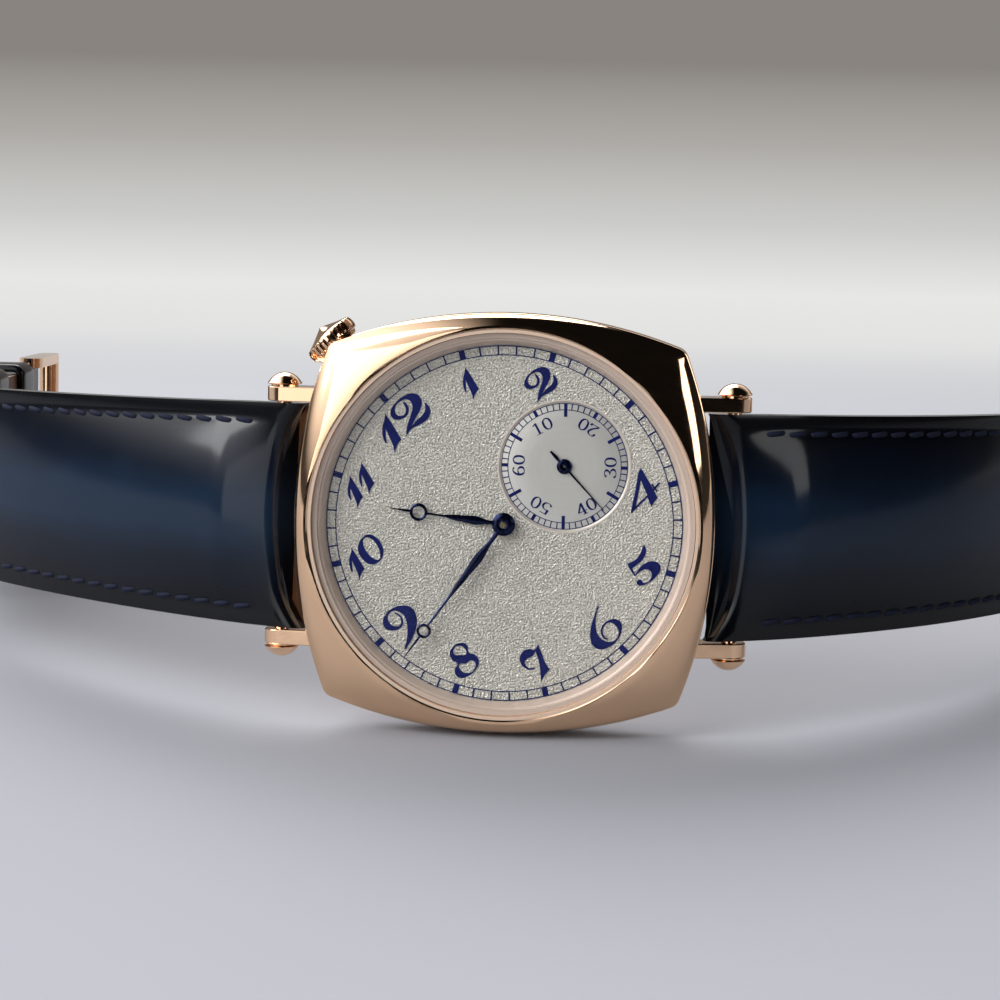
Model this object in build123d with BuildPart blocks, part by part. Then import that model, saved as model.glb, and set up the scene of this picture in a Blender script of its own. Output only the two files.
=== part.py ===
from build123d import *
import os
from math import asin, atan2, ceil, cos, degrees, radians, sin, sqrt

# A hand-wound wristwatch with a cushion case, straight bar lugs, a crown on the case corner,
# a sunk seconds dial, a glass back over the movement, and a two-piece leather strap.
# It is built on a bench: the dial's front face lies in XY with +Z out of the dial, the strap
# runs along X, and the crown's corner is at 135 degrees. At the end the whole watch is stood on
# the lower side of its case, leaning back on its strap, with the origin under its middle.

# Turns
full_turn = 360
half_turn = full_turn / 2
quarter_turn = full_turn / 4

# The stand: how far the watch leans back, in degrees
lean_back = 7.47

# Case middle
dial_seat_radius = 18.35
case_wall = 1.65
half_width = dial_seat_radius + case_wall
side_arc_radius = 46.0
corner_round = 3.0
case_top = 0.45
case_taper_start = -2.2
case_bottom = -3.9
case_taper = 1.0
case_bore_radius = 17.7

# Lugs, strap bars and their ball caps
lug_gap = 22.0
lug_thickness = 1.4
lug_end_radius = 1.65
lug_root_depth = 2.4
lug_root_top = -0.7
lug_root_bottom = -3.8
bar_stand = 1.5
bar_reach = half_width + bar_stand
bar_bow = 1.3
bar_height = -2.8
bar_radius = 0.7
ball_neck_radius = 1.3
ball_neck_height = 0.22
ball_base_radius = 1.68
ball_height = 1.33
ball_thread_depth = 0.7

# Bezel, crystal and gasket
bezel_inset = 0.1
bezel_edge = 0.3
bezel_top = 2.0
bezel_land = 0.35
bezel_opening_radius = 18.55
bezel_flange_radius = 17.75
bezel_flange_bottom = 0.03
bezel_waist_draw = 0.5
bezel_waist_flatness = 13.5
bezel_waist_corner = 9.0
bezel_waist_height = 1.5
bezel_top_flatness = 0.6
bezel_top_corner_draw = 0.7
crystal_seat = 1.3
crystal_radius = 18.2
crystal_edge = 0.6
crystal_bevel = 1.3
crystal_top = 2.5

# Dial
dial_thickness = 0.4
dial_radius = 18.25
dial_hole_radius = 0.95
seconds_reach = 7.95
seconds_bearing = 45.0
seconds_dial_radius = 6.2
seconds_dial_depth = 0.18
seconds_hole_radius = 0.3

# Case back and its glass
back_top = -3.4
back_rim_radius = 18.7
back_foot_radius = 17.2
back_bottom = -5.4
back_opening_radius = 14.3
back_glass_seat = -4.5
back_glass_radius = 14.85
back_seat_radius = 15.2
back_glass_bottom = -5.25

# Crown, tube and stem
crown_bearing = half_turn - quarter_turn / 2
stem_height = -2.1
stem_radius = 0.45
stem_end_reach = 8.3
crown_seat_cut = 0.64
crown_seat_width = 5.0
tube_radius = 1.0
tube_bore_radius = 0.6
tube_stand = 0.5
crown_gap = 0.08
crown_collar_radius = 2.15
crown_collar_length = 0.62
crown_radius = 2.75
crown_ring_length = 0.95
crown_grooves = 30
crown_groove_depth = 0.17
crown_dome_radius = 2.35
crown_dome_height = 1.1
crown_tip_radius = 0.7
crown_groove_shares = (0.25, 0.75)

# Movement: radius, heights of its plates
movement_radius = 14.0
plate_back = -1.7
pocket_floor = -1.25
pocket_radius = 5.7
rim_inner_radius = 13.1
bridge_front = -3.3
bridge_back = -3.9
holder_radius = 17.6
bridge_joint = 0.4

# Gear train: teeth, modules (pitch diameter over teeth) and heights
barrel_teeth = 72
centre_leaves = 12
barrel_module = 0.165
centre_teeth = 64
third_leaves = 8
centre_module = 0.15
third_teeth = 60
fourth_leaves = 8
third_module = 0.125
fourth_teeth = 60
escape_leaves = 6
fourth_module = 0.11
wheel_thickness = 0.2
barrel_front = -1.75
barrel_back = -2.85
barrel_edge = 0.3
barrel_drum_radius = 5.3
barrel_wall = 0.25
centre_wheel_back = -3.15
third_wheel_back = -2.5
fourth_wheel_back = -2.05
escape_wheel_back = -2.5
pinion_overlap = 0.1
arbor_radius = 0.25
wheel_hub_radius = 0.75
wheel_arm_width = 0.5
wheel_arms = 5
slow_wheel_arms = 4
pivot_radius = 0.1
pivot_length = 0.4
jewel_radius = 0.55
jewel_thickness = 0.3
centre_arbor_radius = 0.45
centre_pivot_radius = 0.15
centre_jewel_radius = 0.7
barrel_bearing = 200.0
escape_bearing = -60.0

# Escapement and balance
escape_tooth_count = 15
escape_tip_radius = 2.4
escape_root_radius = 1.9
escape_thickness = 0.15
escape_club_drop = 0.075
escape_hub_radius = 0.5
escape_rim = 0.25
escape_arm_width = 0.25
escape_arms = 4
fork_distance = 3.0
fork_back = -2.6
fork_thickness = 0.3
fork_staff_radius = 0.2
fork_boss_radius = 0.4
fork_lever_width = 0.36
fork_horn_width = 1.0
fork_horn_length = 0.7
fork_slot_width = 0.3
fork_arm_width = 0.34
stone_angle = 30.0
stone_width = 0.18
stone_length = 0.4
balance_reach = 9.0
balance_bearing = -30.0
balance_radius = 3.9
balance_rim = 0.5
balance_front = -3.0
balance_back = -3.4
balance_arm_width = 0.6
staff_radius = 0.25
roller_radius = 0.95
roller_thickness = 0.12
roller_back = -2.78
impulse_pin_radius = 0.09
impulse_pin_reach = 0.7
collet_radius = 0.5
hairspring_back = -3.7
hairspring_height = 0.15
hairspring_wire = 0.1
hairspring_inner = 0.62
hairspring_pitch = 0.52
hairspring_half_turns = 9
hairspring_samples = 600
cock_front = -3.8
cock_back = -4.3
cock_tip_radius = 1.25
cock_foot_radius = 1.85
cock_foot_reach = 11.1
cock_foot_bearing = -66.0
stud_radius = 0.22
pallet_bridge_front = -2.7
pallet_bridge_back = -2.93
pallet_bridge_width = 1.3
pallet_post_reach = 11.9
pallet_post_radius = 0.85

# Winding work on the bridge
ratchet_teeth = 40
crown_wheel_teeth = 28
ratchet_module = 0.22
winding_leaves = 12
ratchet_front = -3.95
ratchet_back = -4.2
barrel_arbor_radius = 0.6
arbor_core_radius = 1.3
ratchet_screw_radius = 1.15
ratchet_screw_height = 0.14
winding_pinion_radius = 1.55
crown_wheel_front = -3.7
crown_wheel_recess = 0.2
winding_pinion_length = 1.0
winding_pinion_reach = 9.7
winding_pinion_room = 0.06
sliding_pinion_radius = 0.9
sliding_pinion_length = 1.3
click_length = 2.0
click_width = 0.7
click_pivot_radius = 0.5
click_tip_radius = 0.23
click_turn_angle = 40.0
click_lean_angle = 70.0
mainspring_inner = 1.75
mainspring_pitch = 0.62
mainspring_half_turns = 9
mainspring_strip = 0.15
mainspring_front = -2.1
mainspring_back = -2.55

# Motion work under the dial
cannon_leaves = 12
minute_teeth = 36
minute_leaves = 10
hour_teeth = 40
motion_module = 0.12
minute_wheel_bearing = -100.0
hour_wheel_front = -0.5
hour_wheel_back = -0.75
minute_wheel_front = -0.95
minute_wheel_back = -1.15
cannon_radius = 0.5
cannon_bore = 0.21
cannon_tip_radius = 0.33
cannon_top = 1.0
centre_post_radius = 0.2
hour_pipe_radius = 0.72
hour_pipe_bore = 0.53
minute_post_radius = 0.25

# Hands: readings, lengths and rings
hour_step = full_turn / 12
minute_step = full_turn / 60
minute_reading = 43.4
hour_reading = 10.72
second_reading = 37.8
hour_hand_front = 0.48
hour_hand_back = 0.33
minute_hand_front = 0.92
minute_hand_back = 0.74
second_hand_front = 0.16
second_hand_back = 0.04
minute_length = 16.0
minute_ring_reach = 12.7
minute_ring_radius = 0.7
minute_ring_bore = 0.46
minute_hub_radius = 1.0
hour_length = 10.9
hour_ring_reach = 8.16
hour_ring_radius = 0.95
hour_ring_bore = 0.62
hour_hub_radius = 1.2
hand_root_width = 0.62
hand_neck_width = 0.34
hand_point_width = 0.1
second_length = 5.6
second_tail = 2.0
second_hub_radius = 0.75
second_root_width = 0.24
second_point_width = 0.1

# Strap: both halves swing on the strap bars
strap_width = 21.7
strap_end_width = 19.0
strap_slice = 4.0
loop_radius = 1.2
strap_edge = 2.2
strap_side_draw = 0.25
pad_crown = 1.7
pad_edge = 2.6
pad_rise = 6.0
strap_start_angle = 22.0
short_sweep_length = 40.0
short_sweep_angle = 44.0
short_turn_length = 14.0
short_turn_angle = 90.0
short_straight = 26.0
long_sweep_length = 42.0
long_sweep_angle = 60.0
long_turn_length = 12.0
long_turn_angle = 64.0
long_straight = 57.25
tip_length = 12.0
tip_arc_radius = 17.0
tip_end_radius = 10.5
hole_count = 7
hole_pitch = 6.5
hole_radius = 0.8
first_hole_from_tip = 26.0
strap_bar_clearance = 0.03

# Keepers
keeper_wall = 0.9
keeper_length = 5.0
keeper_side_play = 0.25
keeper_height = 4.7
fixed_keeper_from_end = 9.5
free_keeper_from_end = 21.5
free_keeper_play = 0.06

# Buckle
buckle_bar_radius = 0.6
buckle_loop_radius = 1.3
buckle_inner_width = 19.15
buckle_arm_width = 1.1
buckle_length = 9.2
buckle_front_radius = 1.15
buckle_eye_radius = 1.35
tang_width = 1.9
tang_slot_width = 3.0
tang_slot_length = 4.0
tang_thickness = 1.1
tang_eye_radius = 1.1
tang_overhang = 0.3
tang_gap = 0.05

# Screws
screw_reach = 13.45
screw_head_radius = 0.5
screw_head_height = 0.25
screw_shank_radius = 0.25
screw_slot = 0.14
screw_turn_share = 3.0
screw_bearings = (112.0, 165.0, 228.0, 268.0, 85.0, 20.0)
barrel_screw_count = 4
cock_screw_radius = 0.75
cock_screw_height = 0.3
cock_shank_radius = 0.4

# Small gaps: between fixed pieces, and round moving ones
fit_gap = 0.02
running_gap = 0.03
overrun = 1.0

pieces = {}


def keep(name, builder):
    """File a finished piece under its name, still on the bench."""
    pieces[name] = builder.part


def polar(radius, bearing, start=(0, 0)):
    """A point at a radius and bearing from a start point."""
    return (start[0] + radius * cos(radians(bearing)), start[1] + radius * sin(radians(bearing)))


def bearing_of(start, end):
    """The bearing of one point seen from another."""
    return degrees(atan2(end[1] - start[1], end[0] - start[0]))


def distance(start, end):
    """How far one point is from another."""
    return sqrt((end[0] - start[0]) ** 2 + (end[1] - start[1]) ** 2)


def level(height, at=(0, 0), bearing=0):
    """A plane at a height, centred over a point and turned to a bearing."""
    return Plane(
        origin=(at[0], at[1], height),
        x_dir=(cos(radians(bearing)), sin(radians(bearing)), 0),
        z_dir=(0, 0, 1),
    )


def crown_plane(reach):
    """A plane across the stem, facing out of the case at the crown's corner."""
    out = polar(1, crown_bearing)
    return Plane(
        origin=(reach * out[0], reach * out[1], stem_height),
        x_dir=(0, 0, 1),
        z_dir=(out[0], out[1], 0),
    )


def rod(plane, radius, length, bore=0, mode=Mode.ADD):
    """A cylinder standing on a plane, with a bore if it has one."""
    with BuildSketch(plane) as disc:
        Circle(radius)
        if bore:
            Circle(bore, mode=Mode.SUBTRACT)
    extrude(disc.sketch, amount=length, mode=mode)


def rod_at(at, radius, back, front, bore=0, mode=Mode.ADD):
    """A cylinder along Z between two heights."""
    rod(level(back, at), radius, front - back, bore, mode)


def turn(points):
    """Turn a closed outline of (radius, height) points round the Z axis."""
    with BuildSketch(Plane.XZ) as outline:
        with BuildLine():
            Polyline(*points, close=True)
        make_face()
    revolve(outline.sketch, axis=Axis.Z)


# Cushion outlines

def corner_centre(half, arc_radius, corner):
    """How far along X, and along Y, the centre of a corner's rounding lies."""
    middle = arc_radius - half
    reach = arc_radius - corner
    return (sqrt(2 * reach**2 - middle**2) - middle) / 2


def cushion(plane, half, arc_radius, corner):
    """A square with bulging sides and rounded corners."""
    middle = arc_radius - half
    along = corner_centre(half, arc_radius, corner)
    swing = degrees(atan2(along, along + middle))
    with BuildSketch(plane) as face:
        with BuildLine():
            for quarter in range(4):
                side = quarter * quarter_turn
                CenterArc(polar(-middle, side), arc_radius, side - swing, 2 * swing)
                corner_at = polar(along * sqrt(2), side + quarter_turn / 2)
                CenterArc(corner_at, corner, side + swing, quarter_turn - 2 * swing)
        make_face()
    return face.sketch


# Gears

def pitch_radius(teeth, module):
    return teeth * module / 2


def mesh_distance(teeth, leaves, module):
    """How far apart two meshing arbors stand."""
    return pitch_radius(teeth + leaves, module)


tooth_tip_share = 0.8
tooth_root_share = 1.0
tooth_foot_share = 0.28
wheel_rim_share = 2.6


def toothed(plane, teeth, module):
    """The outline of a gear of pointed teeth, one of them along the plane's X axis."""
    pitch = full_turn / teeth
    tip = pitch_radius(teeth, module) + tooth_tip_share * module
    root = pitch_radius(teeth, module) - tooth_root_share * module
    points = []
    for tooth in range(teeth):
        middle = tooth * pitch
        points.append(polar(root, middle - tooth_foot_share * pitch))
        points.append(polar(tip, middle))
        points.append(polar(root, middle + tooth_foot_share * pitch))
    with BuildSketch(plane) as face:
        with BuildLine():
            Polyline(*points, close=True)
        make_face()
    return face.sketch


def gear(at, teeth, module, back, front, toward, gap=False):
    """A gear between two heights, with a tooth, or a gap, on the bearing toward its mate."""
    turned = toward + (half_turn / teeth if gap else 0)
    extrude(toothed(level(back, at, turned), teeth, module), amount=front - back)


def cross_out(at, arms, hub, rim, arm_width, back, front, bearing=0):
    """Cut the windows between a wheel's arms."""
    with BuildSketch(level(back, at, bearing)) as windows:
        Circle(rim)
        Circle(hub, mode=Mode.SUBTRACT)
        with PolarLocations(rim / 2, arms):
            Rectangle(rim, arm_width, mode=Mode.SUBTRACT)
    extrude(windows.sketch, amount=front - back, mode=Mode.SUBTRACT)


# Where the arbors stand

centre_at = (0, 0)
seconds_at = polar(seconds_reach, seconds_bearing)
centre_third = mesh_distance(centre_teeth, third_leaves, centre_module)
third_fourth = mesh_distance(third_teeth, fourth_leaves, third_module)
third_turn = degrees(
    asin(
        sqrt(
            1 - ((centre_third**2 + seconds_reach**2 - third_fourth**2)
                 / (2 * centre_third * seconds_reach)) ** 2
        )
    )
)
third_at = polar(centre_third, seconds_bearing + third_turn)
escape_at = polar(
    mesh_distance(fourth_teeth, escape_leaves, fourth_module), escape_bearing, seconds_at
)
balance_at = polar(balance_reach, balance_bearing)
fork_bearing = bearing_of(escape_at, balance_at)
fork_at = polar(fork_distance, fork_bearing, escape_at)
barrel_at = polar(mesh_distance(barrel_teeth, centre_leaves, barrel_module), barrel_bearing)
ratchet_mesh = mesh_distance(ratchet_teeth, crown_wheel_teeth, ratchet_module)
barrel_along = distance((0, 0), barrel_at) * cos(radians(barrel_bearing - crown_bearing))
barrel_aside = distance((0, 0), barrel_at) * sin(radians(barrel_bearing - crown_bearing))
crown_wheel_reach = barrel_along + sqrt(ratchet_mesh**2 - barrel_aside**2)
crown_wheel_at = polar(crown_wheel_reach, crown_bearing)
motion_distance = mesh_distance(minute_teeth, cannon_leaves, motion_module)
hour_module = 2 * motion_distance / (hour_teeth + minute_leaves)
minute_wheel_at = polar(motion_distance, minute_wheel_bearing)
cock_foot_at = polar(cock_foot_reach, cock_foot_bearing)
pallet_post_at = polar(
    pallet_post_reach, degrees(asin(fork_at[1] / pallet_post_reach))
)
jewel_front = bridge_back + jewel_thickness
winding_pinion_end = winding_pinion_reach + winding_pinion_length
corner_reach = corner_centre(half_width, side_arc_radius, corner_round) * sqrt(2) + corner_round
crown_seat_reach = corner_reach - crown_seat_cut
pivot_tip = bridge_front - pivot_length


# Case middle with its four lugs

def lug_profile(side):
    """The side view of a lug: a tapering bar with its end rounded about the strap bar."""
    with BuildSketch(Plane.XZ) as profile:
        with BuildLine():
            Polyline(
                (side * (half_width - lug_root_depth), lug_root_top),
                (side * bar_reach, bar_height + lug_end_radius),
                (side * bar_reach, bar_height - lug_end_radius),
                (side * (half_width - lug_root_depth), lug_root_bottom),
                close=True,
            )
        make_face()
        with Locations((side * bar_reach, bar_height)):
            Circle(lug_end_radius)
    return profile.sketch


with BuildPart() as case_middle:
    extrude(
        cushion(level(case_taper_start), half_width, side_arc_radius, corner_round),
        amount=case_top - case_taper_start,
    )
    loft(
        [
            cushion(level(case_taper_start), half_width, side_arc_radius, corner_round),
            cushion(
                level(case_bottom),
                half_width - case_taper,
                side_arc_radius - case_taper,
                corner_round - case_taper,
            ),
        ],
        ruled=True,
    )
    for side in (-1, 1):
        for start in (-lug_gap / 2 - lug_thickness, lug_gap / 2):
            extrude(lug_profile(side).moved(Location((0, start, 0))), amount=-lug_thickness)
    rod_at((0, 0), case_bore_radius, case_bottom - overrun, case_top + overrun, mode=Mode.SUBTRACT)
    rod_at((0, 0), dial_seat_radius, -dial_thickness, case_top + overrun, mode=Mode.SUBTRACT)
    with BuildSketch(crown_plane(crown_seat_reach)) as seat:
        Rectangle(half_width, crown_seat_width)
    extrude(seat.sketch, amount=crown_radius, mode=Mode.SUBTRACT)
    rod(
        crown_plane(case_bore_radius - overrun),
        tube_radius + fit_gap,
        crown_seat_reach - case_bore_radius + 2 * overrun,
        mode=Mode.SUBTRACT,
    )
    for side in (-1, 1):
        with BuildSketch(Plane.XZ.offset(-half_width)) as bar_hole:
            with Locations((side * bar_reach, bar_height)):
                Circle(bar_radius + fit_gap)
        extrude(bar_hole.sketch, amount=2 * half_width, mode=Mode.SUBTRACT)
keep("case_middle", case_middle)


# Strap bars and the ball caps screwed on their ends

lug_face = lug_gap / 2 + lug_thickness
bar_end = lug_face + ball_thread_depth - fit_gap
bow_arc_radius = ((lug_gap / 2) ** 2 + bar_bow**2) / (2 * bar_bow)


def bar_plane(side, end, reach):
    """A plane round the ends of a strap bar, facing outward at a reach from the middle."""
    return Plane(
        origin=(side * bar_reach, end * reach, bar_height), x_dir=(1, 0, 0), z_dir=(0, end, 0)
    )


def bowed_rod(side, radius, mode=Mode.ADD):
    """A round rod between the lugs, bowed away from the case like the strap bar."""
    middle = (side * (bar_reach + bar_bow - bow_arc_radius), 0, bar_height)
    swing = degrees(asin(lug_gap / 2 / bow_arc_radius))
    out = polar(side, -swing)
    across = Plane(origin=middle, x_dir=(out[0], out[1], 0), z_dir=(out[1], -out[0], 0))
    with BuildSketch(across) as section:
        with Locations((bow_arc_radius, 0)):
            Circle(radius)
    revolve(section.sketch, axis=Axis(middle, (0, 0, 1)), revolution_arc=2 * swing, mode=mode)


def strap_bar(side):
    """A bar bowed between the lugs, with straight round ends held in the ball caps."""
    with BuildPart() as bar:
        bowed_rod(side, bar_radius)
        for end in (-1, 1):
            with Locations((side * bar_reach, end * lug_gap / 2, bar_height)):
                Sphere(bar_radius)
            rod(bar_plane(side, end, lug_gap / 2), bar_radius, bar_end - lug_gap / 2)
    return bar


keep("strap_bar_short_side", strap_bar(-1))
keep("strap_bar_long_side", strap_bar(1))

ball_rise = ball_height - ball_neck_height
ball_arc_radius = (ball_base_radius**2 + ball_rise**2) / (2 * ball_rise)
ball_arc_start = degrees(asin((ball_arc_radius - ball_rise) / ball_arc_radius))


with BuildPart() as lug_caps:
    for side in (-1, 1):
        for end in (-1, 1):
            across = Plane(
                origin=(side * bar_reach, end * lug_face, bar_height),
                x_dir=(1, 0, 0),
                z_dir=(0, 0, end),
            )
            with BuildSketch(across) as profile:
                with BuildLine():
                    ball = CenterArc(
                        (0, ball_height - ball_arc_radius),
                        ball_arc_radius,
                        ball_arc_start,
                        quarter_turn - ball_arc_start,
                    )
                    Polyline(
                        ball @ 0,
                        (ball_neck_radius, ball_neck_height),
                        (ball_neck_radius, 0),
                        (0, 0),
                        ball @ 1,
                    )
                make_face()
            revolve(
                profile.sketch,
                axis=Axis((side * bar_reach, 0, bar_height), (0, 1, 0)),
            )
            rod(bar_plane(side, end, lug_face), bar_radius + fit_gap, ball_thread_depth,
                mode=Mode.SUBTRACT)
keep("lug_caps", lug_caps)


# Bezel: a smooth slope from the cushion edge up to the round glass

bezel_half = half_width - bezel_inset
bezel_arc = side_arc_radius - bezel_inset
bezel_corner = corner_round - bezel_inset
bezel_edge_top = case_top + bezel_edge
bezel_top_half = bezel_opening_radius + bezel_land
with BuildPart() as bezel:
    extrude(cushion(level(case_top), bezel_half, bezel_arc, bezel_corner), amount=bezel_edge)
    loft(
        [
            cushion(level(bezel_edge_top), bezel_half, bezel_arc, bezel_corner),
            cushion(
                level(bezel_waist_height),
                half_width - bezel_waist_draw,
                half_width - bezel_waist_draw + bezel_waist_flatness,
                bezel_waist_corner,
            ),
            cushion(
                level(bezel_top),
                bezel_top_half,
                bezel_top_half + bezel_top_flatness,
                bezel_top_half - bezel_top_corner_draw,
            ),
        ],
        ruled=True,
    )
    rod_at((0, 0), dial_seat_radius - fit_gap, bezel_flange_bottom, case_top)
    rod_at(
        (0, 0),
        bezel_flange_radius,
        bezel_flange_bottom - overrun,
        crystal_seat,
        mode=Mode.SUBTRACT,
    )
    rod_at((0, 0), bezel_opening_radius, crystal_seat, bezel_top + overrun, mode=Mode.SUBTRACT)
keep("bezel", bezel)

crystal_side_top = crystal_seat + crystal_edge
with BuildPart() as crystal:
    turn(
        [
            (0, crystal_seat),
            (crystal_radius, crystal_seat),
            (crystal_radius, crystal_side_top),
            (crystal_radius - crystal_bevel, crystal_top),
            (0, crystal_top),
        ]
    )
keep("crystal", crystal)

with BuildPart() as crystal_gasket:
    rod_at(
        (0, 0),
        bezel_opening_radius - fit_gap,
        crystal_seat,
        crystal_side_top,
        bore=crystal_radius + fit_gap,
    )
keep("crystal_gasket", crystal_gasket)


# Dial with its sunk seconds dial

with BuildPart() as dial:
    rod_at((0, 0), dial_radius, -dial_thickness, 0)
    rod_at(seconds_at, seconds_dial_radius, -seconds_dial_depth, overrun, mode=Mode.SUBTRACT)
    rod_at((0, 0), dial_hole_radius, -dial_thickness - overrun, overrun, mode=Mode.SUBTRACT)
    rod_at(seconds_at, seconds_hole_radius, -dial_thickness - overrun, overrun, mode=Mode.SUBTRACT)
keep("dial", dial)


# Case back with its glass and gasket

with BuildPart() as case_back:
    turn(
        [
            (back_opening_radius, back_top),
            (case_bore_radius - fit_gap, back_top),
            (case_bore_radius - fit_gap, case_bottom),
            (back_rim_radius, case_bottom),
            (back_foot_radius, back_bottom),
            (back_seat_radius, back_bottom),
            (back_seat_radius, back_glass_seat),
            (back_opening_radius, back_glass_seat),
        ]
    )
keep("case_back", case_back)

with BuildPart() as back_glass:
    rod_at((0, 0), back_glass_radius, back_glass_bottom, back_glass_seat)
keep("back_glass", back_glass)

with BuildPart() as back_gasket:
    rod_at(
        (0, 0),
        back_seat_radius - fit_gap,
        back_glass_bottom,
        back_glass_seat,
        bore=back_glass_radius + fit_gap,
    )
keep("back_gasket", back_gasket)


# Crown tube, stem and crown

with BuildPart() as crown_tube:
    rod(
        crown_plane(case_bore_radius),
        tube_radius,
        crown_seat_reach + tube_stand - case_bore_radius,
        bore=tube_bore_radius,
    )
keep("crown_tube", crown_tube)

crown_start = crown_seat_reach + crown_gap
ring_start = crown_start + crown_collar_length
dome_start = ring_start + crown_ring_length
with BuildPart() as winding_stem:
    rod(crown_plane(stem_end_reach), stem_radius, dome_start - stem_end_reach)
keep("winding_stem", winding_stem)

with BuildPart() as crown:
    rod(crown_plane(crown_start), crown_collar_radius, crown_collar_length)
    groove_points = []
    groove_pitch = full_turn / crown_grooves
    for groove in range(crown_grooves):
        start = groove * groove_pitch
        groove_points.append(polar(crown_radius - crown_groove_depth, start))
        for share in crown_groove_shares:
            groove_points.append(polar(crown_radius, start + share * groove_pitch))
    with BuildSketch(crown_plane(ring_start)) as knurl:
        with BuildLine():
            Polyline(*groove_points, close=True)
        make_face()
    extrude(knurl.sketch, amount=crown_ring_length)
    with BuildSketch(crown_plane(dome_start)) as dome_foot:
        Circle(crown_dome_radius)
    with BuildSketch(crown_plane(dome_start + crown_dome_height)) as dome_tip:
        Circle(crown_tip_radius)
    loft([dome_foot.sketch, dome_tip.sketch])
    rod(
        crown_plane(crown_start - overrun),
        tube_radius + running_gap,
        overrun + tube_stand + crown_gap,
        mode=Mode.SUBTRACT,
    )
    rod(
        crown_plane(crown_start),
        stem_radius + fit_gap,
        dome_start - crown_start + fit_gap,
        mode=Mode.SUBTRACT,
    )
keep("crown", crown)

with BuildPart() as sliding_pinion:
    rod(
        crown_plane(stem_end_reach),
        sliding_pinion_radius,
        sliding_pinion_length,
        bore=stem_radius + running_gap,
    )
keep("sliding_pinion", sliding_pinion)

with BuildPart() as winding_pinion:
    leaf_module = 2 * winding_pinion_radius / (winding_leaves + 2 * tooth_tip_share)
    extrude(
        toothed(crown_plane(winding_pinion_reach), winding_leaves, leaf_module),
        amount=winding_pinion_length,
    )
    rod(
        crown_plane(winding_pinion_reach - overrun),
        stem_radius + running_gap,
        winding_pinion_length + 2 * overrun,
        mode=Mode.SUBTRACT,
    )
keep("winding_pinion", winding_pinion)


# Main plate: a dish with a rim that carries the bridges

with BuildPart() as mainplate:
    rod_at((0, 0), movement_radius, plate_back, -dial_thickness)
    rod_at((0, 0), movement_radius, bridge_front, plate_back, bore=rim_inner_radius)
    rod_at((0, 0), pocket_radius, pocket_floor, overrun, mode=Mode.SUBTRACT)
    rod_at((0, 0), centre_arbor_radius + running_gap, plate_back, 0, mode=Mode.SUBTRACT)
    rod_at(seconds_at, arbor_radius + running_gap, plate_back, 0, mode=Mode.SUBTRACT)
    for at in (third_at, escape_at, fork_at, balance_at):
        rod_at(at, pivot_radius + running_gap, plate_back, pocket_floor, mode=Mode.SUBTRACT)
    rod_at(barrel_at, barrel_arbor_radius + running_gap, plate_back, pocket_floor,
           mode=Mode.SUBTRACT)
    rod(
        crown_plane(winding_pinion_end),
        tube_radius,
        movement_radius - winding_pinion_end + overrun,
        mode=Mode.SUBTRACT,
    )
    rod(
        crown_plane(stem_end_reach - fit_gap),
        winding_pinion_radius + running_gap,
        winding_pinion_end - stem_end_reach + 2 * fit_gap,
        mode=Mode.SUBTRACT,
    )
    rod_at(minute_wheel_at, minute_post_radius, pocket_floor, -dial_thickness - fit_gap)
keep("mainplate", mainplate)

with BuildPart() as movement_holder:
    rod_at(
        (0, 0),
        holder_radius,
        back_top,
        -dial_thickness,
        bore=movement_radius + fit_gap,
    )
    rod(crown_plane(movement_radius - overrun), tube_radius, movement_radius, mode=Mode.SUBTRACT)
keep("movement_holder", movement_holder)


# Bridges. Their outlines are points in shares of the movement's radius.

barrel_bridge_shares = (
    (-0.13, 1.1), (-0.13, 0.22), (0.2, 0.1), (0.25, -0.12),
    (0.14, -0.42), (0.13, -1.1), (-1.1, -1.1), (-1.1, 1.1),
)
train_bridge_shares = (
    (-0.13, 1.1), (-0.13, 0.22), (0.2, 0.1), (0.39, 0.07), (1.1, 0.07), (1.1, 1.1),
)
train_window_shares = ((0.315, 0.2), (0.75, 0.46))
train_window_radius = 1.75
centre_window_share = (0.03, -0.27)
centre_window_radius = 1.9


def shared(shares):
    """Points given in shares of the movement's radius."""
    return [(movement_radius * x, movement_radius * y) for x, y in shares]


def bridge_plate(shares, aside):
    """A slice of the movement's disc, drawn back by half the joint from its neighbour."""
    with BuildSketch(level(bridge_back)) as plate:
        with BuildLine():
            Polyline(*shared(shares), close=True)
        make_face()
        offset(amount=-bridge_joint / 2, kind=Kind.INTERSECTION)
        Circle(movement_radius, mode=Mode.INTERSECT)
        with Locations(aside):
            Circle(balance_radius + bridge_joint, mode=Mode.SUBTRACT)
    extrude(plate.sketch, amount=bridge_front - bridge_back)


def screw_holes(bearings):
    """Stepped holes for the rim screws, cut into a bridge."""
    for bearing in bearings:
        at = polar(screw_reach, bearing)
        rod_at(at, screw_shank_radius + fit_gap, bridge_back, bridge_front, mode=Mode.SUBTRACT)
        rod_at(
            at,
            screw_head_radius + fit_gap,
            bridge_back - overrun,
            bridge_back + screw_head_height,
            mode=Mode.SUBTRACT,
        )


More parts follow.
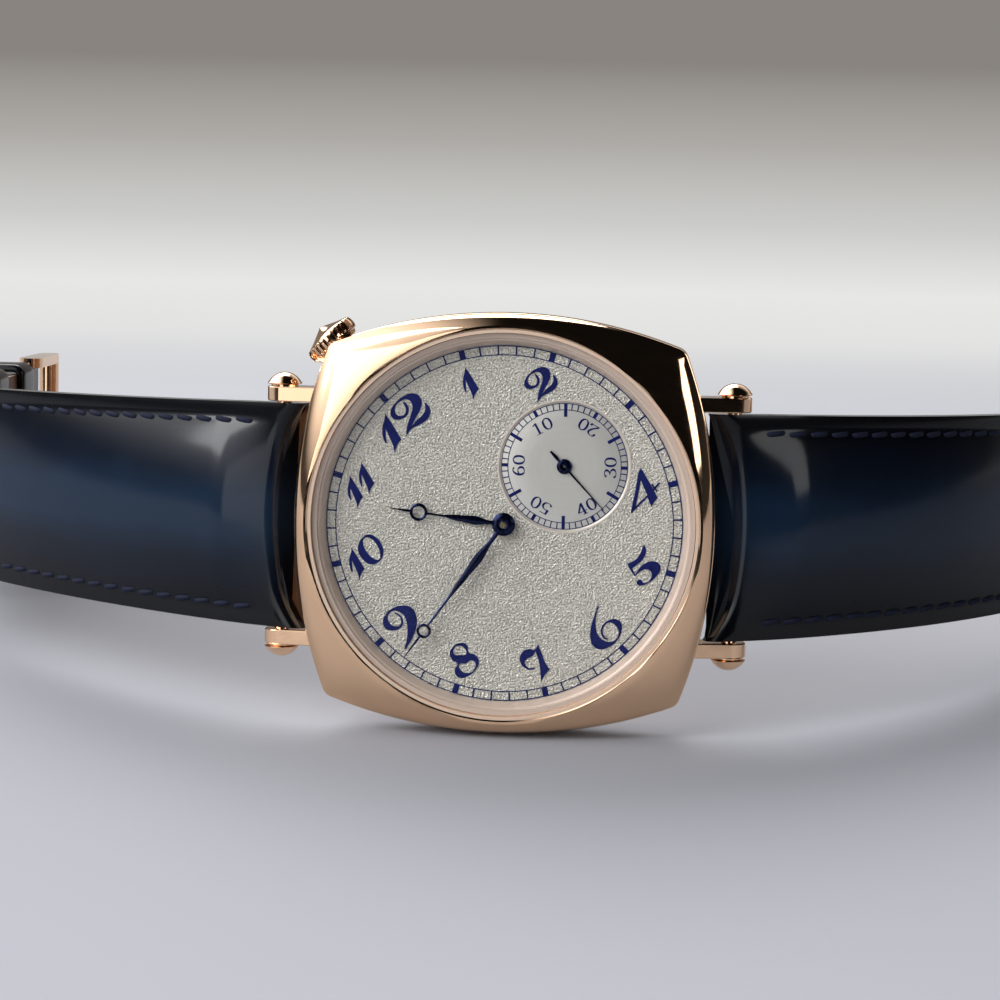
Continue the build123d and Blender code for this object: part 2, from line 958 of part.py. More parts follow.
with BuildPart() as barrel_bridge:
    bridge_plate(barrel_bridge_shares, balance_at)
    rod_at(
        shared([centre_window_share])[0],
        centre_window_radius,
        bridge_back,
        bridge_front,
        mode=Mode.SUBTRACT,
    )
    rod_at(centre_at, centre_jewel_radius + fit_gap, bridge_back, bridge_front, mode=Mode.SUBTRACT)
    rod_at(barrel_at, barrel_arbor_radius + running_gap, bridge_back, bridge_front,
           mode=Mode.SUBTRACT)
    rod_at(
        crown_wheel_at,
        pitch_radius(crown_wheel_teeth, ratchet_module) + ratchet_module + running_gap,
        bridge_back,
        bridge_back + crown_wheel_recess + running_gap,
        mode=Mode.SUBTRACT,
    )
    rod_at(crown_wheel_at, barrel_arbor_radius, ratchet_back, bridge_front)
    with BuildSketch(level(bridge_back, crown_wheel_at, crown_bearing)) as pinion_window:
        with Locations(((winding_pinion_reach + winding_pinion_end) / 2 - crown_wheel_reach, 0)):
            Rectangle(winding_pinion_length + 2 * winding_pinion_room, 2 * winding_pinion_radius)
    extrude(pinion_window.sketch, amount=bridge_front - bridge_back, mode=Mode.SUBTRACT)
    screw_holes(screw_bearings[:barrel_screw_count])
keep("barrel_bridge", barrel_bridge)

with BuildPart() as train_bridge:
    bridge_plate(train_bridge_shares, balance_at)
    for at in shared(train_window_shares):
        rod_at(at, train_window_radius, bridge_back, bridge_front, mode=Mode.SUBTRACT)
    for at in (third_at, seconds_at, escape_at):
        rod_at(at, jewel_radius + fit_gap, bridge_back, bridge_front, mode=Mode.SUBTRACT)
    screw_holes(screw_bearings[barrel_screw_count:])
keep("train_bridge", train_bridge)


def tapered_arm(back, thickness, start, start_radius, end, end_radius):
    """A flat arm that narrows between two round ends."""
    with BuildSketch(level(back)) as arm:
        with Locations(start):
            Circle(start_radius)
        with Locations(end):
            Circle(end_radius)
        make_hull()
    extrude(arm.sketch, amount=thickness)


with BuildPart() as balance_cock:
    tapered_arm(
        cock_back,
        cock_front - cock_back,
        cock_foot_at,
        cock_foot_radius,
        balance_at,
        cock_tip_radius,
    )
    rod_at(cock_foot_at, cock_foot_radius, cock_front, plate_back)
    stud_at = polar(
        hairspring_inner + hairspring_half_turns * hairspring_pitch / 2,
        bearing_of(balance_at, cock_foot_at),
        balance_at,
    )
    rod_at(stud_at, stud_radius, cock_front, hairspring_back - fit_gap)
    rod_at(balance_at, jewel_radius + fit_gap, cock_back, cock_front, mode=Mode.SUBTRACT)
    rod_at(cock_foot_at, cock_shank_radius + fit_gap, cock_back, plate_back, mode=Mode.SUBTRACT)
    rod_at(
        cock_foot_at,
        cock_screw_radius + fit_gap,
        cock_back - overrun,
        cock_back + cock_screw_height,
        mode=Mode.SUBTRACT,
    )
keep("balance_cock", balance_cock)

with BuildPart() as pallet_bridge:
    with BuildSketch(level(pallet_bridge_back)) as bar:
        with Locations(fork_at):
            Circle(pallet_bridge_width / 2)
        with Locations(pallet_post_at):
            Circle(pallet_post_radius)
        make_hull()
    extrude(bar.sketch, amount=pallet_bridge_front - pallet_bridge_back)
    rod_at(pallet_post_at, pallet_post_radius, pallet_bridge_front, plate_back)
    rod_at(
        fork_at,
        pivot_radius + running_gap,
        pallet_bridge_back,
        pallet_bridge_front,
        mode=Mode.SUBTRACT,
    )
keep("pallet_bridge", pallet_bridge)


# Jewels and screws

with BuildPart() as jewels:
    for at in (third_at, seconds_at, escape_at):
        rod_at(at, jewel_radius, bridge_back, jewel_front, bore=pivot_radius + running_gap)
    rod_at(
        centre_at,
        centre_jewel_radius,
        bridge_back,
        jewel_front,
        bore=centre_pivot_radius + running_gap,
    )
    rod_at(
        balance_at,
        jewel_radius,
        cock_back,
        cock_back + jewel_thickness,
        bore=pivot_radius + running_gap,
    )
keep("jewels", jewels)


def screw(at, head_back, head_radius, head_height, shank_radius, shank_front, slot_bearing):
    """A slotted screw whose head shows at the back of the movement."""
    rod_at(at, head_radius, head_back, head_back + head_height)
    rod_at(at, shank_radius, head_back + head_height, shank_front)
    with BuildSketch(level(head_back, at, slot_bearing)) as slot:
        Rectangle(2 * head_radius + overrun, screw_slot)
    extrude(slot.sketch, amount=head_height / 2, mode=Mode.SUBTRACT)


with BuildPart() as bridge_screws:
    for bearing in screw_bearings:
        screw(
            polar(screw_reach, bearing),
            bridge_back,
            screw_head_radius,
            screw_head_height,
            screw_shank_radius,
            bridge_front,
            screw_turn_share * bearing,
        )
    screw(
        cock_foot_at,
        cock_back,
        cock_screw_radius,
        cock_screw_height,
        cock_shank_radius,
        plate_back,
        cock_foot_bearing,
    )
keep("bridge_screws", bridge_screws)


# Barrel, mainspring and the winding wheels

with BuildPart() as barrel_drum:
    gear(
        barrel_at,
        barrel_teeth,
        barrel_module,
        barrel_front - barrel_edge,
        barrel_front,
        barrel_bearing + half_turn,
        gap=True,
    )
    rod_at(barrel_at, barrel_drum_radius, barrel_back + barrel_wall, barrel_front - barrel_edge)
    rod_at(
        barrel_at,
        barrel_drum_radius - barrel_wall,
        barrel_back,
        barrel_front - barrel_edge,
        mode=Mode.SUBTRACT,
    )
    rod_at(barrel_at, barrel_arbor_radius + running_gap, barrel_back, barrel_front,
           mode=Mode.SUBTRACT)
keep("barrel_drum", barrel_drum)

with BuildPart() as barrel_cover:
    rod_at(
        barrel_at,
        barrel_drum_radius,
        barrel_back,
        barrel_back + barrel_wall,
        bore=barrel_arbor_radius + running_gap,
    )
keep("barrel_cover", barrel_cover)

with BuildPart() as barrel_arbor:
    rod_at(barrel_at, barrel_arbor_radius, ratchet_back, pocket_floor - running_gap)
    rod_at(
        barrel_at,
        arbor_core_radius,
        barrel_back + barrel_wall + running_gap,
        barrel_front - barrel_edge - running_gap,
    )
keep("barrel_arbor", barrel_arbor)


def spiral(at, bearing, inner, pitch, half_turns, strip, back, height):
    """A flat strip wound outward in half turns, ending on a bearing from its middle."""
    start = level(back, at, bearing + half_turn * half_turns)
    path = []
    for half in range(half_turns):
        radius = inner + half * pitch / 2
        shift = 0 if half % 2 == 0 else -pitch / 2
        with BuildLine(start) as arc:
            CenterArc((shift, 0), radius, half_turn * (half % 2), half_turn)
        path.append(arc.line.edges()[0])
    wire = Wire(path)
    section = Plane(
        origin=wire @ 0,
        x_dir=(0, 0, 1),
        z_dir=wire % 0,
    )
    with BuildSketch(section) as cut:
        Rectangle(height, strip)
    sweep(cut.sketch, path=wire)
    return wire


def coil_gap(wire, samples, inner, strip):
    """The least gap between a coil's turns, measured on points along its middle line."""
    places = [wire.position_at(sample / samples) for sample in range(samples + 1)]
    apart = ceil(samples * radians(half_turn) * inner / wire.length)
    nearest = min(
        (place - other).length
        for count, place in enumerate(places)
        for other in places[count + apart:]
    )
    return nearest - strip


with BuildPart() as mainspring:
    spiral(
        barrel_at,
        0,
        mainspring_inner,
        mainspring_pitch,
        mainspring_half_turns,
        mainspring_strip,
        (mainspring_front + mainspring_back) / 2,
        mainspring_front - mainspring_back,
    )
keep("mainspring", mainspring)

with BuildPart() as ratchet_wheel:
    gear(
        barrel_at,
        ratchet_teeth,
        ratchet_module,
        ratchet_back,
        ratchet_front,
        bearing_of(barrel_at, crown_wheel_at),
    )
    rod_at(barrel_at, barrel_arbor_radius + fit_gap, ratchet_back, ratchet_front,
           mode=Mode.SUBTRACT)
keep("ratchet_wheel", ratchet_wheel)

with BuildPart() as ratchet_screw:
    rod_at(
        barrel_at,
        ratchet_screw_radius,
        ratchet_back - ratchet_screw_height,
        ratchet_back,
    )
    with BuildSketch(level(ratchet_back - ratchet_screw_height, barrel_at, barrel_bearing)) as slot:
        Rectangle(2 * ratchet_screw_radius + overrun, screw_slot)
    extrude(slot.sketch, amount=ratchet_screw_height / 2, mode=Mode.SUBTRACT)
keep("ratchet_screw", ratchet_screw)

with BuildPart() as crown_wheel:
    gear(
        crown_wheel_at,
        crown_wheel_teeth,
        ratchet_module,
        ratchet_back,
        crown_wheel_front,
        bearing_of(crown_wheel_at, barrel_at),
        gap=True,
    )
    rod_at(
        crown_wheel_at,
        barrel_arbor_radius + running_gap,
        ratchet_back,
        crown_wheel_front,
        mode=Mode.SUBTRACT,
    )
keep("crown_wheel", crown_wheel)

with BuildPart() as crown_wheel_screw:
    rod_at(
        crown_wheel_at,
        ratchet_screw_radius,
        ratchet_back - ratchet_screw_height,
        ratchet_back - fit_gap,
    )
    with BuildSketch(
        level(ratchet_back - ratchet_screw_height, crown_wheel_at, crown_bearing)
    ) as slot:
        Rectangle(2 * ratchet_screw_radius + overrun, screw_slot)
    extrude(slot.sketch, amount=ratchet_screw_height / 2, mode=Mode.SUBTRACT)
keep("crown_wheel_screw", crown_wheel_screw)


# Going train

def arbor(at, front):
    """A wheel's arbor with its back pivot in a bridge jewel and its front one in the plate."""
    rod_at(at, arbor_radius, bridge_front + running_gap, plate_back - running_gap)
    rod_at(at, pivot_radius, pivot_tip, bridge_front + running_gap)
    rod_at(at, pivot_radius, plate_back - running_gap, front)


def wheel(at, teeth, module, back, toward, arms):
    """A crossed-out wheel with its teeth set to a mate."""
    gear(at, teeth, module, back, back + wheel_thickness, toward)
    rim = pitch_radius(teeth, module) - wheel_rim_share * module
    cross_out(
        at,
        arms,
        wheel_hub_radius,
        rim,
        wheel_arm_width,
        back,
        back + wheel_thickness,
        toward,
    )


with BuildPart() as centre_wheel:
    wheel(
        centre_at,
        centre_teeth,
        centre_module,
        centre_wheel_back,
        bearing_of(centre_at, third_at),
        wheel_arms,
    )
    rod_at(centre_at, wheel_hub_radius, centre_wheel_back, centre_wheel_back + wheel_thickness)
    gear(
        centre_at,
        centre_leaves,
        barrel_module,
        centre_wheel_back + wheel_thickness,
        plate_back - running_gap,
        barrel_bearing,
    )
    rod_at(centre_at, centre_arbor_radius, bridge_front + running_gap, pocket_floor)
    rod_at(centre_at, centre_pivot_radius, pivot_tip, bridge_front + running_gap)
    rod_at(centre_at, centre_post_radius, pocket_floor, cannon_top)
keep("centre_wheel", centre_wheel)

with BuildPart() as third_wheel:
    wheel(
        third_at,
        third_teeth,
        third_module,
        third_wheel_back,
        bearing_of(third_at, seconds_at),
        wheel_arms,
    )
    gear(
        third_at,
        third_leaves,
        centre_module,
        bridge_front + pinion_overlap,
        third_wheel_back - pinion_overlap,
        bearing_of(third_at, centre_at),
        gap=True,
    )
    arbor(third_at, pocket_floor - running_gap)
keep("third_wheel", third_wheel)

with BuildPart() as fourth_wheel:
    wheel(
        seconds_at,
        fourth_teeth,
        fourth_module,
        fourth_wheel_back,
        bearing_of(seconds_at, escape_at),
        slow_wheel_arms,
    )
    gear(
        seconds_at,
        fourth_leaves,
        third_module,
        third_wheel_back - pinion_overlap,
        fourth_wheel_back - pinion_overlap,
        bearing_of(seconds_at, third_at),
        gap=True,
    )
    rod_at(seconds_at, arbor_radius, bridge_front + running_gap, -dial_thickness - running_gap)
    rod_at(seconds_at, pivot_radius, pivot_tip, bridge_front + running_gap)
    rod_at(seconds_at, pivot_radius, -dial_thickness - running_gap, second_hand_front)
keep("fourth_wheel", fourth_wheel)

with BuildPart() as escape_wheel:
    tooth = full_turn / escape_tooth_count
    tooth_lean_shares = (0.38, 0.5, 0.6)
    club_points = []
    for count in range(escape_tooth_count):
        start = count * tooth
        club_points.append(polar(escape_root_radius, start))
        club_points.append(polar(escape_tip_radius - escape_club_drop,
                                 start + tooth_lean_shares[0] * tooth))
        club_points.append(polar(escape_tip_radius, start + tooth_lean_shares[1] * tooth))
        club_points.append(polar(escape_root_radius, start + tooth_lean_shares[2] * tooth))
    with BuildSketch(level(escape_wheel_back, escape_at, fork_bearing)) as clubs:
        with BuildLine():
            Polyline(*club_points, close=True)
        make_face()
    extrude(clubs.sketch, amount=escape_thickness)
    cross_out(
        escape_at,
        escape_arms,
        escape_hub_radius,
        escape_root_radius - escape_rim,
        escape_arm_width,
        escape_wheel_back,
        escape_wheel_back + escape_thickness,
    )
    gear(
        escape_at,
        escape_leaves,
        fourth_module,
        fourth_wheel_back - pinion_overlap,
        plate_back - running_gap,
        bearing_of(escape_at, seconds_at),
        gap=True,
    )
    rod_at(
        escape_at,
        fork_staff_radius,
        bridge_front + running_gap,
        fourth_wheel_back - pinion_overlap,
    )
    rod_at(escape_at, pivot_radius, pivot_tip, bridge_front + running_gap)
    rod_at(escape_at, pivot_radius, plate_back - running_gap, pocket_floor - running_gap)
keep("escape_wheel", escape_wheel)


# Lever and balance

stone_contact = (
    escape_tip_radius * cos(radians(stone_angle)) - fork_distance,
    escape_tip_radius * sin(radians(stone_angle)),
)
fork_reach = distance(fork_at, balance_at) - impulse_pin_reach
with BuildPart() as pallet_fork:
    with BuildSketch(level(fork_back, fork_at, fork_bearing)) as lever:
        with Locations((fork_reach / 2, 0)):
            Rectangle(fork_reach, fork_lever_width)
        with Locations((fork_reach, 0)):
            Rectangle(fork_horn_length, fork_horn_width)
        Circle(fork_boss_radius)
        for side in (-1, 1):
            with BuildLine():
                Polyline(
                    (fork_arm_width / 2, 0),
                    (stone_contact[0] + stone_length + fork_arm_width,
                     side * (stone_contact[1] + fork_arm_width / 2)),
                    (stone_contact[0] + stone_length,
                     side * (stone_contact[1] + fork_arm_width / 2)),
                    (stone_contact[0] + stone_length, side * (stone_contact[1] - fork_arm_width)),
                    (-fork_arm_width, 0),
                    close=True,
                )
            make_face()
        with Locations((fork_reach + fork_horn_length / 2, 0)):
            Rectangle(fork_horn_length + 2 * fork_slot_width, fork_slot_width, mode=Mode.SUBTRACT)
    extrude(lever.sketch, amount=fork_thickness)
    rod_at(fork_at, fork_staff_radius, pallet_bridge_front + running_gap, plate_back - running_gap)
    rod_at(
        fork_at,
        pivot_radius,
        pallet_bridge_back + running_gap,
        pallet_bridge_front + running_gap,
    )
    rod_at(fork_at, pivot_radius, plate_back - running_gap, pocket_floor - running_gap)
keep("pallet_fork", pallet_fork)

with BuildPart() as pallet_stones:
    with BuildSketch(level(fork_back, fork_at, fork_bearing)) as stones:
        for side in (-1, 1):
            with Locations((stone_contact[0] + stone_length / 2, side * stone_contact[1])):
                Rectangle(stone_length, stone_width)
    extrude(stones.sketch, amount=fork_thickness)
keep("pallet_stones", pallet_stones)

with BuildPart() as balance_wheel:
    rod_at(
        balance_at,
        balance_radius,
        balance_back,
        balance_front,
        bore=balance_radius - balance_rim,
    )
    with BuildSketch(level(balance_back, balance_at, fork_bearing)) as arm:
        Rectangle(2 * balance_radius - balance_rim, balance_arm_width)
    extrude(arm.sketch, amount=(balance_front - balance_back) / 2)
    rod_at(balance_at, collet_radius, hairspring_back, hairspring_back + hairspring_height)
    rod_at(balance_at, staff_radius, cock_front + running_gap, plate_back - running_gap)
    rod_at(balance_at, pivot_radius, cock_back + fit_gap, cock_front + running_gap)
    rod_at(balance_at, pivot_radius, plate_back - running_gap, pocket_floor - running_gap)
    rod_at(balance_at, roller_radius, roller_back, roller_back + roller_thickness)
    pin_at = polar(impulse_pin_reach, fork_bearing + half_turn, balance_at)
    rod_at(
        pin_at,
        impulse_pin_radius,
        roller_back + roller_thickness,
        fork_back + fork_thickness / 2,
    )
keep("balance_wheel", balance_wheel)

with BuildPart() as hairspring:
    hairspring_line = spiral(
        balance_at,
        bearing_of(balance_at, cock_foot_at),
        hairspring_inner,
        hairspring_pitch,
        hairspring_half_turns,
        hairspring_wire,
        hairspring_back + hairspring_height / 2,
        hairspring_height,
    )
keep("hairspring", hairspring)


# Motion work

with BuildPart() as cannon_pinion:
    gear(
        centre_at,
        cannon_leaves,
        motion_module,
        pocket_floor + running_gap,
        hour_wheel_back - pinion_overlap,
        minute_wheel_bearing,
        gap=True,
    )
    rod_at(centre_at, cannon_radius, pocket_floor + running_gap, minute_hand_back)
    rod_at(centre_at, cannon_tip_radius, minute_hand_back, cannon_top)
    rod_at(centre_at, cannon_bore, pocket_floor, cannon_top, mode=Mode.SUBTRACT)
keep("cannon_pinion", cannon_pinion)

with BuildPart() as minute_wheel:
    gear(
        minute_wheel_at,
        minute_teeth,
        motion_module,
        minute_wheel_back,
        minute_wheel_front,
        minute_wheel_bearing + half_turn,
    )
    gear(
        minute_wheel_at,
        minute_leaves,
        hour_module,
        minute_wheel_front,
        -dial_thickness - running_gap,
        minute_wheel_bearing + half_turn,
        gap=True,
    )
    rod_at(
        minute_wheel_at,
        minute_post_radius + running_gap,
        minute_wheel_back,
        -dial_thickness,
        mode=Mode.SUBTRACT,
    )
keep("minute_wheel", minute_wheel)

with BuildPart() as hour_wheel:
    gear(
        centre_at,
        hour_teeth,
        hour_module,
        hour_wheel_back,
        hour_wheel_front,
        minute_wheel_bearing,
    )
    rod_at(centre_at, hour_pipe_radius, hour_wheel_front, hour_hand_front)
    rod_at(centre_at, hour_pipe_bore, hour_wheel_back, hour_hand_front, mode=Mode.SUBTRACT)
keep("hour_wheel", hour_wheel)


# Hands

def ringed_hand(bearing, back, front, length, ring_reach, ring_radius, ring_bore, hub, bore):
    """A tapering hand that carries a ring near its point."""
    with BuildSketch(level(back, centre_at, bearing)) as blade:
        with BuildLine():
            Polyline(
                (0, -hand_root_width / 2),
                (ring_reach, -hand_neck_width / 2),
                (length, -hand_point_width / 2),
                (length, hand_point_width / 2),
                (ring_reach, hand_neck_width / 2),
                (0, hand_root_width / 2),
                close=True,
            )
        make_face()
        Circle(hub)
        Circle(bore, mode=Mode.SUBTRACT)
        with Locations((ring_reach, 0)):
            Circle(ring_radius)
            Circle(ring_bore, mode=Mode.SUBTRACT)
    extrude(blade.sketch, amount=front - back)


with BuildPart() as hour_hand:
    ringed_hand(
        crown_bearing - hour_step * hour_reading,
        hour_hand_back,
        hour_hand_front,
        hour_length,
        hour_ring_reach,
        hour_ring_radius,
        hour_ring_bore,
        hour_hub_radius,
        hour_pipe_radius + fit_gap,
    )
keep("hour_hand", hour_hand)

with BuildPart() as minute_hand:
    ringed_hand(
        crown_bearing - minute_step * minute_reading,
        minute_hand_back + fit_gap,
        minute_hand_front,
        minute_length,
        minute_ring_reach,
        minute_ring_radius,
        minute_ring_bore,
        minute_hub_radius,
        cannon_tip_radius + fit_gap,
    )
keep("minute_hand", minute_hand)

with BuildPart() as seconds_hand:
    seconds_turn = crown_bearing + seconds_bearing - minute_step * second_reading
    with BuildSketch(level(second_hand_back, seconds_at, seconds_turn)) as needle:
        with BuildLine():
            Polyline(
                (-second_tail, -second_root_width / 2),
                (second_length, -second_point_width / 2),
                (second_length, second_point_width / 2),
                (-second_tail, second_root_width / 2),
                close=True,
            )
        make_face()
        Circle(second_hub_radius)
        Circle(pivot_radius + fit_gap, mode=Mode.SUBTRACT)
    extrude(needle.sketch, amount=second_hand_front - second_hand_back)
keep("seconds_hand", seconds_hand)


# Click that stops the ratchet wheel turning back

ratchet_tip = pitch_radius(ratchet_teeth, ratchet_module) + tooth_tip_share * ratchet_module
click_bearing = barrel_bearing + click_turn_angle
click_tip_at = polar(ratchet_tip + running_gap, click_bearing, barrel_at)
click_pivot_at = polar(click_length, click_bearing + click_lean_angle, click_tip_at)
with BuildPart() as click:
    with BuildSketch(level(ratchet_back)) as pawl:
        with Locations(click_pivot_at):
            Circle(click_width)
        with Locations(polar(click_width / 2, click_bearing, click_tip_at)):
            Circle(click_tip_radius)
        make_hull()
    extrude(pawl.sketch, amount=ratchet_front - ratchet_back)
    rod_at(click_pivot_at, click_pivot_radius + running_gap, ratchet_back, ratchet_front,
           mode=Mode.SUBTRACT)
keep("click", click)

with BuildPart() as click_screw:
    rod_at(click_pivot_at, click_pivot_radius, ratchet_back - fit_gap, bridge_back)
    rod_at(
        click_pivot_at,
        click_width,
        ratchet_back - ratchet_screw_height,
        ratchet_back - fit_gap,
    )
keep("click_screw", click_screw)


# Strap halves: padded leather lofted along bends that run into a straight end

class Course:
    """The middle line of a strap half: two bends back from its bar, and then a straight end."""

    def __init__(self, side, bends, straight):
        self.side = side
        self.bends = bends
        self.bent = sum(length for length, angle in bends)
        self.length = self.bent + straight

    def walk(self, along):
        """How far out and down a distance along the strap leads, and the lean there in radians."""
        out, down, lean = 0, 0, radians(strap_start_angle)
        for length, angle in self.bends:
            rate = (radians(angle) - lean) / length
            here = lean + rate * min(along, length)
            out += (sin(here) - sin(lean)) / rate
            down += (cos(lean) - cos(here)) / rate
            lean = here
            along = max(along - length, 0)
        return (out + along * cos(lean), down + along * sin(lean), lean)

    def point(self, along):
        """The middle of the strap at a distance along it."""
        out, down, lean = self.walk(along)
        return (self.side * (bar_reach + out), 0, bar_height - down)

    def across(self, along):
        """A plane square to the strap, its Y axis out of the strap's face."""
        lean = self.walk(along)[2]
        return Plane(
            origin=self.point(along),
            x_dir=(0, self.side, 0),
            z_dir=(self.side * cos(lean), 0, -sin(lean)),
        )

    def face(self, along):
        """A plane in the strap's middle, its Z axis out of the face, its X along the strap."""
        lean = self.walk(along)[2]
        return Plane(
            origin=self.point(along),
            x_dir=(self.side * cos(lean), 0, -sin(lean)),
            z_dir=(self.side * sin(lean), 0, cos(lean)),
        )

    def slices(self):
        """Where the loft's sections lie: closely along the bends, and at the end."""
        places = [0]
        for length, angle in self.bends:
            start = places[-1]
            steps = ceil(length / strap_slice)
            places += [start + length * step / steps for step in range(1, steps + 1)]
        return places + [self.length]


short_course = Course(
    -1,
    ((short_sweep_length, short_sweep_angle), (short_turn_length, short_turn_angle)),
    short_straight,
)
long_course = Course(
    1,
    ((long_sweep_length, long_sweep_angle), (long_turn_length, long_turn_angle)),
    long_straight,
)


def strap_section(course, along):
    """One slice: a flat lining, sides drawn in, and a face crowned by its padding."""
    bend_left = 1 - min(along / course.bent, 1)
    pad = min(along / pad_rise, 1) * bend_left
    half = (strap_end_width + (strap_width - strap_end_width) * bend_left) / 2
    edge = strap_edge + (pad_edge - strap_edge) * pad
    crown_top = edge / 2 + pad_crown * pad + strap_side_draw / 2
    with BuildSketch(course.across(along)) as section:
        with BuildLine():
            Polyline(
                (-half + strap_side_draw, edge / 2),
                (-half, 0),
                (-half + strap_side_draw, -strap_edge / 2),
                (half - strap_side_draw, -strap_edge / 2),
                (half, 0),
                (half - strap_side_draw, edge / 2),
            )
            ThreePointArc(
                (half - strap_side_draw, edge / 2),
                (0, crown_top),
                (-half + strap_side_draw, edge / 2),
            )
        make_face()
    return section.sketch


def strap_body(course):
    """The padded leather of one half, its end following the bowed bar in a loop round it."""
    loft([strap_section(course, along) for along in course.slices()], ruled=True)
    rod_at(
        (course.side * (bar_reach + bar_bow - bow_arc_radius), 0),
        bow_arc_radius,
        bar_height - 2 * strap_edge,
        bar_height + 2 * strap_edge,
        mode=Mode.SUBTRACT,
    )
    bowed_rod(course.side, loop_radius)
    bowed_rod(course.side, bar_radius + strap_bar_clearance, mode=Mode.SUBTRACT)
    for end in (-1, 1):
        rod(
            bar_plane(course.side, end, strap_width / 2),
            2 * loop_radius,
            overrun,
            mode=Mode.SUBTRACT,
        )


with BuildPart() as strap_short_half:
    strap_body(short_course)
    buckle_at = short_course.point(short_course.length)
    buckle_plane = Plane(
        origin=(buckle_at[0], -strap_end_width / 2 + strap_side_draw, buckle_at[2]),
        x_dir=(1, 0, 0),
        z_dir=(0, 1, 0),
    )
    rod(buckle_plane, buckle_loop_radius, strap_end_width - 2 * strap_side_draw)
    rod(
        buckle_plane.offset(-overrun),
        buckle_bar_radius + strap_bar_clearance,
        strap_end_width + 2 * overrun,
        mode=Mode.SUBTRACT,
    )
    slot_reach = tang_slot_length - buckle_loop_radius - overrun
    with BuildSketch(short_course.face(short_course.length - slot_reach / 2)) as tang_slot:
        Rectangle(tang_slot_length + buckle_loop_radius + overrun, tang_slot_width)
    extrude(tang_slot.sketch, amount=2 * buckle_loop_radius, both=True, mode=Mode.SUBTRACT)
keep("strap_short_half", strap_short_half)

with BuildPart() as strap_long_half:
    strap_body(long_course)
    tip_plane = long_course.face(long_course.length - tip_length)
    arch_centre = tip_arc_radius - strap_end_width / 2
    with BuildSketch(tip_plane) as tip:
        with Locations((0, -arch_centre)):
            Circle(tip_arc_radius)
        with Locations((0, arch_centre)):
            Circle(tip_arc_radius, mode=Mode.INTERSECT)
        with Locations((tip_length - tip_end_radius, 0)):
            Circle(tip_end_radius, mode=Mode.INTERSECT)
    with BuildSketch(tip_plane) as beyond_tip:
        with Locations((tip_length / 2 + overrun, 0)):
            Rectangle(tip_length + 2 * overrun, strap_end_width + 2 * overrun)
        add(tip.sketch_local, mode=Mode.SUBTRACT)
    extrude(beyond_tip.sketch, amount=2 * strap_edge, both=True, mode=Mode.SUBTRACT)
    for count in range(hole_count):
        along = long_course.length - first_hole_from_tip - count * hole_pitch
        with BuildSketch(long_course.face(along)) as hole:
            Circle(hole_radius)
        extrude(hole.sketch, amount=2 * strap_edge, both=True, mode=Mode.SUBTRACT)
keep("strap_long_half", strap_long_half)


# Keepers round the straight end of the short half

def keeper(from_end, play):
    """A leather loop with room for the strap and the other half's tail."""
    start = short_course.across(short_course.length - from_end - keeper_length / 2)
    inner_width = strap_end_width + 2 * keeper_side_play
    middle = keeper_height / 2 - strap_edge / 2 - play
    with BuildPart() as loop:
        with BuildSketch(start) as frame:
            with Locations((0, middle)):
                RectangleRounded(
                    inner_width + 2 * keeper_wall,
                    keeper_height + 2 * keeper_wall,
                    keeper_wall,
                )
                Rectangle(inner_width, keeper_height, mode=Mode.SUBTRACT)
        extrude(frame.sketch, amount=keeper_length)
    return loop


keep("fixed_keeper", keeper(fixed_keeper_from_end, fit_gap))
keep("free_keeper", keeper(free_keeper_from_end, free_keeper_play))


# Buckle: a plain rounded frame, its bar and its tang

buckle_half = buckle_inner_width / 2 + buckle_arm_width
front_at = buckle_at[2] - buckle_length
with BuildPart() as buckle_frame:
    for side in (-1, 1):
        arm_start = side * (buckle_inner_width + buckle_arm_width) / 2 - buckle_arm_width / 2
        eye_plane = Plane(
            origin=(buckle_at[0], arm_start, buckle_at[2]), x_dir=(1, 0, 0), z_dir=(0, 1, 0)
        )
        front_plane = Plane(
            origin=(buckle_at[0], arm_start, front_at), x_dir=(1, 0, 0), z_dir=(0, 1, 0)
        )
        with BuildSketch(eye_plane) as arm:
            Circle(buckle_eye_radius)
            with Locations((0, buckle_length)):
                Circle(buckle_front_radius)
            make_hull()
        extrude(arm.sketch, amount=buckle_arm_width)
    front_bar_plane = Plane(
        origin=(buckle_at[0], -buckle_half, front_at), x_dir=(1, 0, 0), z_dir=(0, 1, 0)
    )
    rod(front_bar_plane, buckle_front_radius, 2 * buckle_half)
    bar_plane = Plane(
        origin=(buckle_at[0], -buckle_half, buckle_at[2]), x_dir=(1, 0, 0), z_dir=(0, 1, 0)
    )
    rod(bar_plane.offset(-overrun), buckle_bar_radius + running_gap, 2 * (buckle_half + overrun),
        mode=Mode.SUBTRACT)
keep("buckle_frame", buckle_frame)

with BuildPart() as buckle_bar:
    rod(bar_plane, buckle_bar_radius, 2 * buckle_half)
keep("buckle_bar", buckle_bar)

with BuildPart() as buckle_tang:
    tang_plane = Plane(
        origin=(buckle_at[0], -tang_width / 2, buckle_at[2]), x_dir=(1, 0, 0), z_dir=(0, 1, 0)
    )
    tang_rest = buckle_front_radius + tang_gap
    with BuildSketch(tang_plane) as pin:
        with BuildLine():
            Polyline(
                (0, -tang_eye_radius),
                (-tang_rest, 0),
                (-tang_rest, buckle_length + tang_overhang),
                (-tang_rest - tang_thickness / 2, buckle_length + tang_overhang),
                (-tang_rest - tang_thickness, 0),
                close=True,
            )
        make_face()
        Circle(tang_eye_radius)
    extrude(pin.sketch, amount=tang_width)
    rod(tang_plane, buckle_bar_radius + running_gap, tang_width, mode=Mode.SUBTRACT)
keep("buckle_tang", buckle_tang)


# Stand the watch on its lower side, leaning back, and put the origin under its middle

